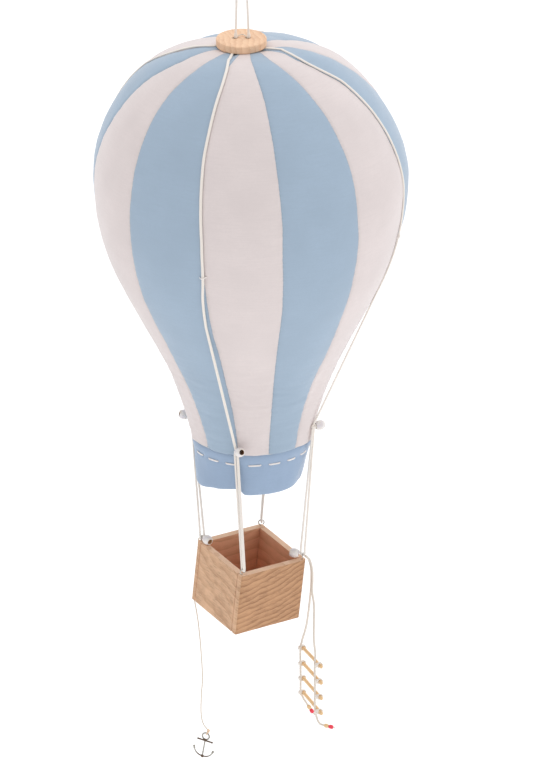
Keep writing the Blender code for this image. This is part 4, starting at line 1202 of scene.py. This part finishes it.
def rigging():
    for name, azimuth, z, bead_azimuth, bead_rise, stand, corner, eye_azimuth in CORNERS:
        suspension_cord(name, azimuth, z)
        seam_tack(name)
        place = knot_place(azimuth, z)
        knot(f"cord_knot_{name}", place, KNOT_R * 1.08, 0.0016, f"upper_knot_{name}")
        rise = radians(bead_rise)
        out = facing(bead_azimuth) * cos(rise) + UP * sin(rise)
        bead(f"cord_bead_{name}", place + out * (stand + BEAD_L / 2), out, f"upper_bead_{name}",
             azimuth)
        into = [place + out * t for t in np.linspace(0.0006, stand + 0.0018, 8)]
        shape = Shape().cord(into, 0.0040, sides=14, plies=3, pitch=0.005, relief=0.12)
        cotton(shape, f"bead_strand_{name}", CORD)
        eye = Vector((corner[0] * EYE_REACH, corner[1] * EYE_REACH, EYE_H))
        screw_eye(name, eye_azimuth, eye)
        wire_top = np.array(BASKET @ (eye + Vector((0, 0, EYE_R))))
        basket_line(name, place, azimuth, wire_top, eye_azimuth)


# Basket

def board_grid(size):
    """A closed grid over a block: points about its middle, and faces with the side they are on."""
    counts = [max(4, int(s / BOARD_STEP)) for s in size]
    verts, index, faces, sides = [], {}, [], []
    for axis in range(3):
        u, v = [k for k in range(3) if k != axis]
        for end in (0, 1):
            for i, j in np.ndindex(counts[u], counts[v]):
                corners = []
                for du, dv in ((0, 0), (1, 0), (1, 1), (0, 1)):
                    key = [end * counts[axis]] * 3
                    key[u], key[v] = i + du, j + dv
                    key = tuple(key)
                    if key not in index:
                        index[key] = len(verts)
                        verts.append([(-1 + 2 * key[k] / counts[k]) * size[k] / 2
                                      for k in range(3)])
                    corners.append(index[key])
                faces.append(corners[::-1] if (axis == 1) != (end == 0) else corners)
                sides.append(2 * axis + end)
    return np.array(verts), faces, sides


def board(name, size, middle, looks, node, round_uprights=False):
    """A board, its edges softened and, where asked, its upright corners round."""
    half, middle = np.array(size) / 2, np.array(middle)
    verts, faces, sides = board_grid(size)
    straight = BASKET_SIDE / 2 - CORNER_R
    worn = []
    for p in verts:
        low = (p + middle)[2] < -BASKET_H + 0.002
        r = (LOW_EDGE_R if low else 0.0005) * (1 + 0.2 * noise.noise(Vector(p + middle) * 140.0))
        core = np.clip(p, -half + r, half - r)
        away = p - core
        if (np.abs(away) > 1e-9).sum() > 1:
            p = core + away / np.linalg.norm(away) * r
        p = p + middle
        if round_uprights and abs(p[0]) > straight and abs(p[1]) > straight:
            pivot = np.sign(p[:2]) * straight
            arm = p[:2] - pivot
            p[:2] = pivot + arm * min(1.0, CORNER_R / np.linalg.norm(arm))
        worn.append(p)
    uvs = [(worn[i][0], worn[i][2]) for face in faces for i in face]
    shape = Shape().add(worn, faces, uvs, [looks[side] for side in sides])
    put(shape.build(name, [OAK, OAK_SIDE, OAK_IN, OAK_RIM], 30, BASKET), [node])


def basket():
    """Looks: 0 and 1 are the outsides, 2 the inside, 3 the rim."""
    between = BASKET_SIDE - 2 * (BOARD_T + GAP)
    middle = BASKET_SIDE / 2 - BOARD_T / 2
    for name, side in (("front_right", -1), ("back_left", 1)):
        faces = (0, 2)[::-side]
        board(f"wall_{name}", (BASKET_SIDE, BOARD_T, BASKET_H), (0, side * middle, -BASKET_H / 2),
              (1, 1, *faces, 0, 3), f"board_{name}", True)
    for name, side in (("front_left", -1), ("back_right", 1)):
        faces = (1, 2)[::-side]
        board(f"wall_{name}", (BOARD_T, between, BASKET_H), (side * middle, 0, -BASKET_H / 2),
              (*faces, 1, 1, 1, 3), f"board_{name}")
    floor = between - GAP
    board("floor_board", (floor, floor, FLOOR_T), (0, 0, -BASKET_H + FLOOR_T / 2),
          (0, 0, 0, 0, 0, 2), "basket_floor")


def stopper_beads():
    """Beads on the rim that keep the cords behind them from slipping out of their eyes."""
    for name, (x, y), way in STOPPERS:
        direction = BASKET.to_3x3() @ Vector((*way, 0)).normalized()
        bead(f"rim_bead_{name}", BASKET @ Vector((x, y, BEAD_R + GAP)), direction,
             f"stopper_bead_{name}", x * 100.0, looks=(PAINT, RAW_PALE))


# Anchor and its cord

def anchor(axes):
    """A small casting: ring, stock with ball ends, shank, crown and arms with flukes."""
    flat = (0, 1, 0)
    low = np.array((0, 0, -ANCHOR_LENGTH))
    ring = [(ANCHOR_RING_R * cos(a), 0, ANCHOR_RING_R * sin(a))
            for a in np.linspace(0, 2 * pi, 40, endpoint=False)]
    stock = [(x, 0, -ANCHOR_STOCK_DROP) for x in np.linspace(-1, 1, 15) * ANCHOR_STOCK_HALF]
    shank = [(0, 0, z) for z in np.linspace(-ANCHOR_STOCK_DROP + 0.0006, -ANCHOR_LENGTH, 20)]
    shape = Shape().cord(ring, ANCHOR_WIRE, outward=flat, sides=14, closed=True)
    shape.cord(stock, 0.0015, sides=14).cord(shank, 0.0013, sides=14)
    for side in (-1, 1):
        tip = np.array((side * ANCHOR_TIP[0], 0, ANCHOR_TIP[1]))
        handles = (low, low + (side * 0.0052, 0, -0.0004), tip + (side * -0.0008, 0, -0.0042), tip)
        shape.cord([bezier(handles, t) for t in np.linspace(0, 1, 24)], 0.0012, 0.0012, flat)
        fluke = [bezier(handles, t) for t in np.linspace(0.80, 1.0, 10)]
        fluke.append(tip + unit(tip - fluke[-3]) * 0.0007)
        shape.cord(fluke, 0.0019, 0.0017, flat, taper=0.4)
        shape.add(*ball(tip, 0.0011))
        shape.add(*ball((side * ANCHOR_STOCK_HALF, 0, -ANCHOR_STOCK_DROP), 0.00095))
    crown = [(0, 0, z) for z in np.linspace(-ANCHOR_LENGTH + 0.0012, -ANCHOR_LENGTH - 0.0016, 8)]
    shape.cord(crown, 0.0028, 0.0018, flat, taper=0.25)
    obj = shape.build("anchor_casting", [BRASS], matrix=axes)
    cast = obj.modifiers.new("cast", "REMESH")
    cast.mode = "VOXEL"
    cast.voxel_size = 0.00019
    cast.use_smooth_shade = True
    soften = obj.modifiers.new("soften", "SMOOTH")
    soften.factor = 0.5
    soften.iterations = 3
    settle(obj)
    return put(obj, ["anchor"], "anchor")


def ball(place, radius):
    """A small sphere's vertices and faces."""
    profile = [(0.0, radius, 0), *rounded(0.0, 0.0, radius, 70, -70, 8), (0.0, -radius, 0)]
    verts, faces, uvs, _ = turned(profile, 14)
    return verts + np.array(place), faces, uvs


def anchor_tie(pivot, up, normal):
    """A thread loop through the anchor's ring, bound by a few turns above it."""
    side = np.array(up.cross(normal))
    pivot, up, normal = (np.array(v) for v in (pivot, up, normal))
    centre = pivot + up * TIE_R
    ring = [centre + up * TIE_R * cos(a) + normal * TIE_R * sin(a)
            for a in np.linspace(0, 2 * pi, 36, endpoint=False)]
    ply = {"plies": 2, "pitch": 0.0015, "relief": 0.1}
    shape = Shape().cord(ring, TIE_WIRE, sides=10, closed=True, **ply)
    coil = []
    for t in np.linspace(0, 1, 60):
        a = 2 * pi * 2.6 * t
        coil.append(pivot + up * (TIE_KNOT_RISE + (t - 0.5) * 0.0026 + 0.0004)
                    + (side * cos(a) + normal * sin(a)) * 0.00085)
    return cotton(shape.cord(coil, 0.00105, sides=9, **ply), "anchor_thread_tie", TIE,
                  "anchor_tie")


def anchor_line():
    """The thread from the left rim bead through its eye, over the rim and down to the anchor."""
    axes = (Matrix.Translation(ANCHOR_AT) @ Matrix.Rotation(ANCHOR_TURN, 4, "Z")
            @ Matrix.Rotation(ANCHOR_TILT, 4, "Y"))
    casting = anchor(axes)
    out = Vector((sin(TIE_ANGLE), 0, cos(TIE_ANGLE)))
    pivot = axes @ (out * (ANCHOR_RING_R - (ANCHOR_WIRE + TIE_WIRE) / 2 - GAP))
    up = (axes.to_3x3() @ out).normalized()
    tie = anchor_tie(pivot, up, (axes.to_3x3() @ Vector((0, -1, 0))).normalized())
    in_eye = Vector((-EYE_REACH, EYE_REACH, EYE_H - THREAD_IN_EYE))
    _, (x, y), way = STOPPERS[0]
    in_bead = Vector((x, y, BEAD_R + GAP - THREAD_IN_BEAD))
    leaving = in_bead - Vector((*way, 0)) * (BEAD_L / 2)
    route = [tuple(BASKET @ Vector(p))
             for p in (in_bead, leaving, in_eye, *ANCHOR_CORD_OVER_RIM)] + [*ANCHOR_CORD_ROUTE]
    knot_at = np.array(pivot + up * TIE_KNOT_RISE)
    route.append(tuple(knot_at + unit(np.array(route[-1]) - knot_at) * 0.0019))
    points = smooth_points(route, step=0.0004)
    shape = Shape().cord(points, THREAD_D, sides=10, plies=3, pitch=0.0034, relief=0.16)
    obj = cotton(shape, "anchor_thread", THREAD, "anchor_cord")


# Ladder

def rung(index, along):
    """A dowel with softly sanded ends."""
    half = RUNG_L / 2
    profile = [(0.0, half, 0), (RUNG_R * 0.62, half - 0.00004, 0),
               (RUNG_R * 0.9, half - 0.0002, 0)]
    profile += [(RUNG_R, half - 0.0005 - t * (RUNG_L - 0.001), 0) for t in np.linspace(0, 1, 13)]
    profile += [(RUNG_R * 0.9, -half + 0.0002, 0), (RUNG_R * 0.62, -half + 0.00004, 0),
                (0.0, -half, 0)]
    drop, dip = RUNGS[index]
    place = pointed(Vector(along * RUNG_L) - Vector((0, 0, dip)), (*RUNG_AT, FIRST_RUNG_Z - drop))
    obj = Shape().turn(profile, 24, 0.03, index * 3.7).build(f"dowel_{index + 1}", [RUNG_WOOD], 60,
                                                             place)
    return put(obj, [f"ladder_rung_{index + 1}"])


def rope_end(name, last, direction):
    """A small wooden bead and a red one, threaded on a thin tail that is frayed at its tip."""
    centre = last + direction * (GAP + END_BEAD_L / 2)
    pieces = []
    for kind, look, slot in (("wood", RUNG_WOOD, "rung_wood"), ("red", RED, "red_paint")):
        pieces.append(bead(f"end_bead_{kind}_{name}", centre, direction,
                           f"ladder_end_{kind}_{name}", size=END_BEAD, looks=(look, RAW_SHADED)))
        centre = centre + direction * (END_BEAD_L + GAP)
    tip = last + direction * (2 * END_BEAD_L + 2 * GAP)
    ends = [last + direction * t for t in (0.0004, 0.003, 0.006)]
    ends += [tip + direction * 0.0008, tip + direction * 0.0018 + (0.0004, 0.0, -0.0006)]
    shape = Shape().cord(smooth_points(ends, step=0.0004), 0.0011, sides=8, plies=2, pitch=0.002,
                         relief=0.15)
    return pieces + [cotton(shape, f"rope_tail_{name}", ROPE)]


def rung_knot(name, index, hub, lump, along, across):
    """Cord wound round a rung, and the lump that it makes beside the rope."""
    r = RUNG_R + 0.0007
    wraps = []
    for t in np.linspace(0, 1, 40):
        a = 2 * pi * 1.5 * t + 0.4 + index
        wraps.append(hub + across * cos(a) * r + UP * sin(a) * r + along * (t - 0.5) * 0.0018)
    shape = Shape().cord(wraps, 0.0014, sides=10, plies=3, pitch=0.003, relief=0.12)
    shape.cord([lump + (0, 0, s) for s in np.linspace(-0.0019, 0.0019, 7)], 0.0037, plies=3,
               pitch=0.004, relief=0.15, taper=0.6)
    return cotton(shape, f"rung_knot_{name}_{index + 1}", CORD)


def ladder():
    along, across = facing(RUNG_AZIMUTH), facing(RUNG_AZIMUTH - 90.0)
    rungs = [rung(i, along) for i in range(len(RUNGS))]
    for name, reach, side, route, tail in ROPES:
        start = [np.array((x, y, z)) + along * (side * half)
                 for x, y, z, half in LADDER_SHARED_ROUTE]
        middle = np.array((*RUNG_AT, 0)) + along * reach
        column = middle + across * (RUNG_R + ROPE_D / 2 + GAP)
        heights = [FIRST_RUNG_Z - drop - dip * reach / RUNG_L for drop, dip in RUNGS]
        points = smooth_points([*start, *route, *(column + (0, 0, z) for z in heights), *tail],
                               step=0.0005)
        pieces = rope_end(name, points[-1], unit(points[-1] - points[-4]))
        slid = along * KNOT_SLID[name]
        for i, z in enumerate(heights):
            pieces.append(rung_knot(name, i, middle + slid + (0, 0, z),
                                    column + slid + (0, 0, z + 0.0004), along, across))
        shape = Shape().cord(points, ROPE_D, plies=3, pitch=0.0050, relief=0.12)
        obj = cotton(shape, f"rope_{name}", ROPE, f"ladder_rope_{name}")


camera()
surroundings()
anchor_line()
ladder()
envelope()
skirt()
disc()
disc_thread()
knot("crown_knot_cord", (0, 0, DISC_TOP - DISC_T - GAP - 0.0030), 0.0034, 0.0020, "crown_knot")
hanging_cord()
rigging()
basket()
stopper_beads()
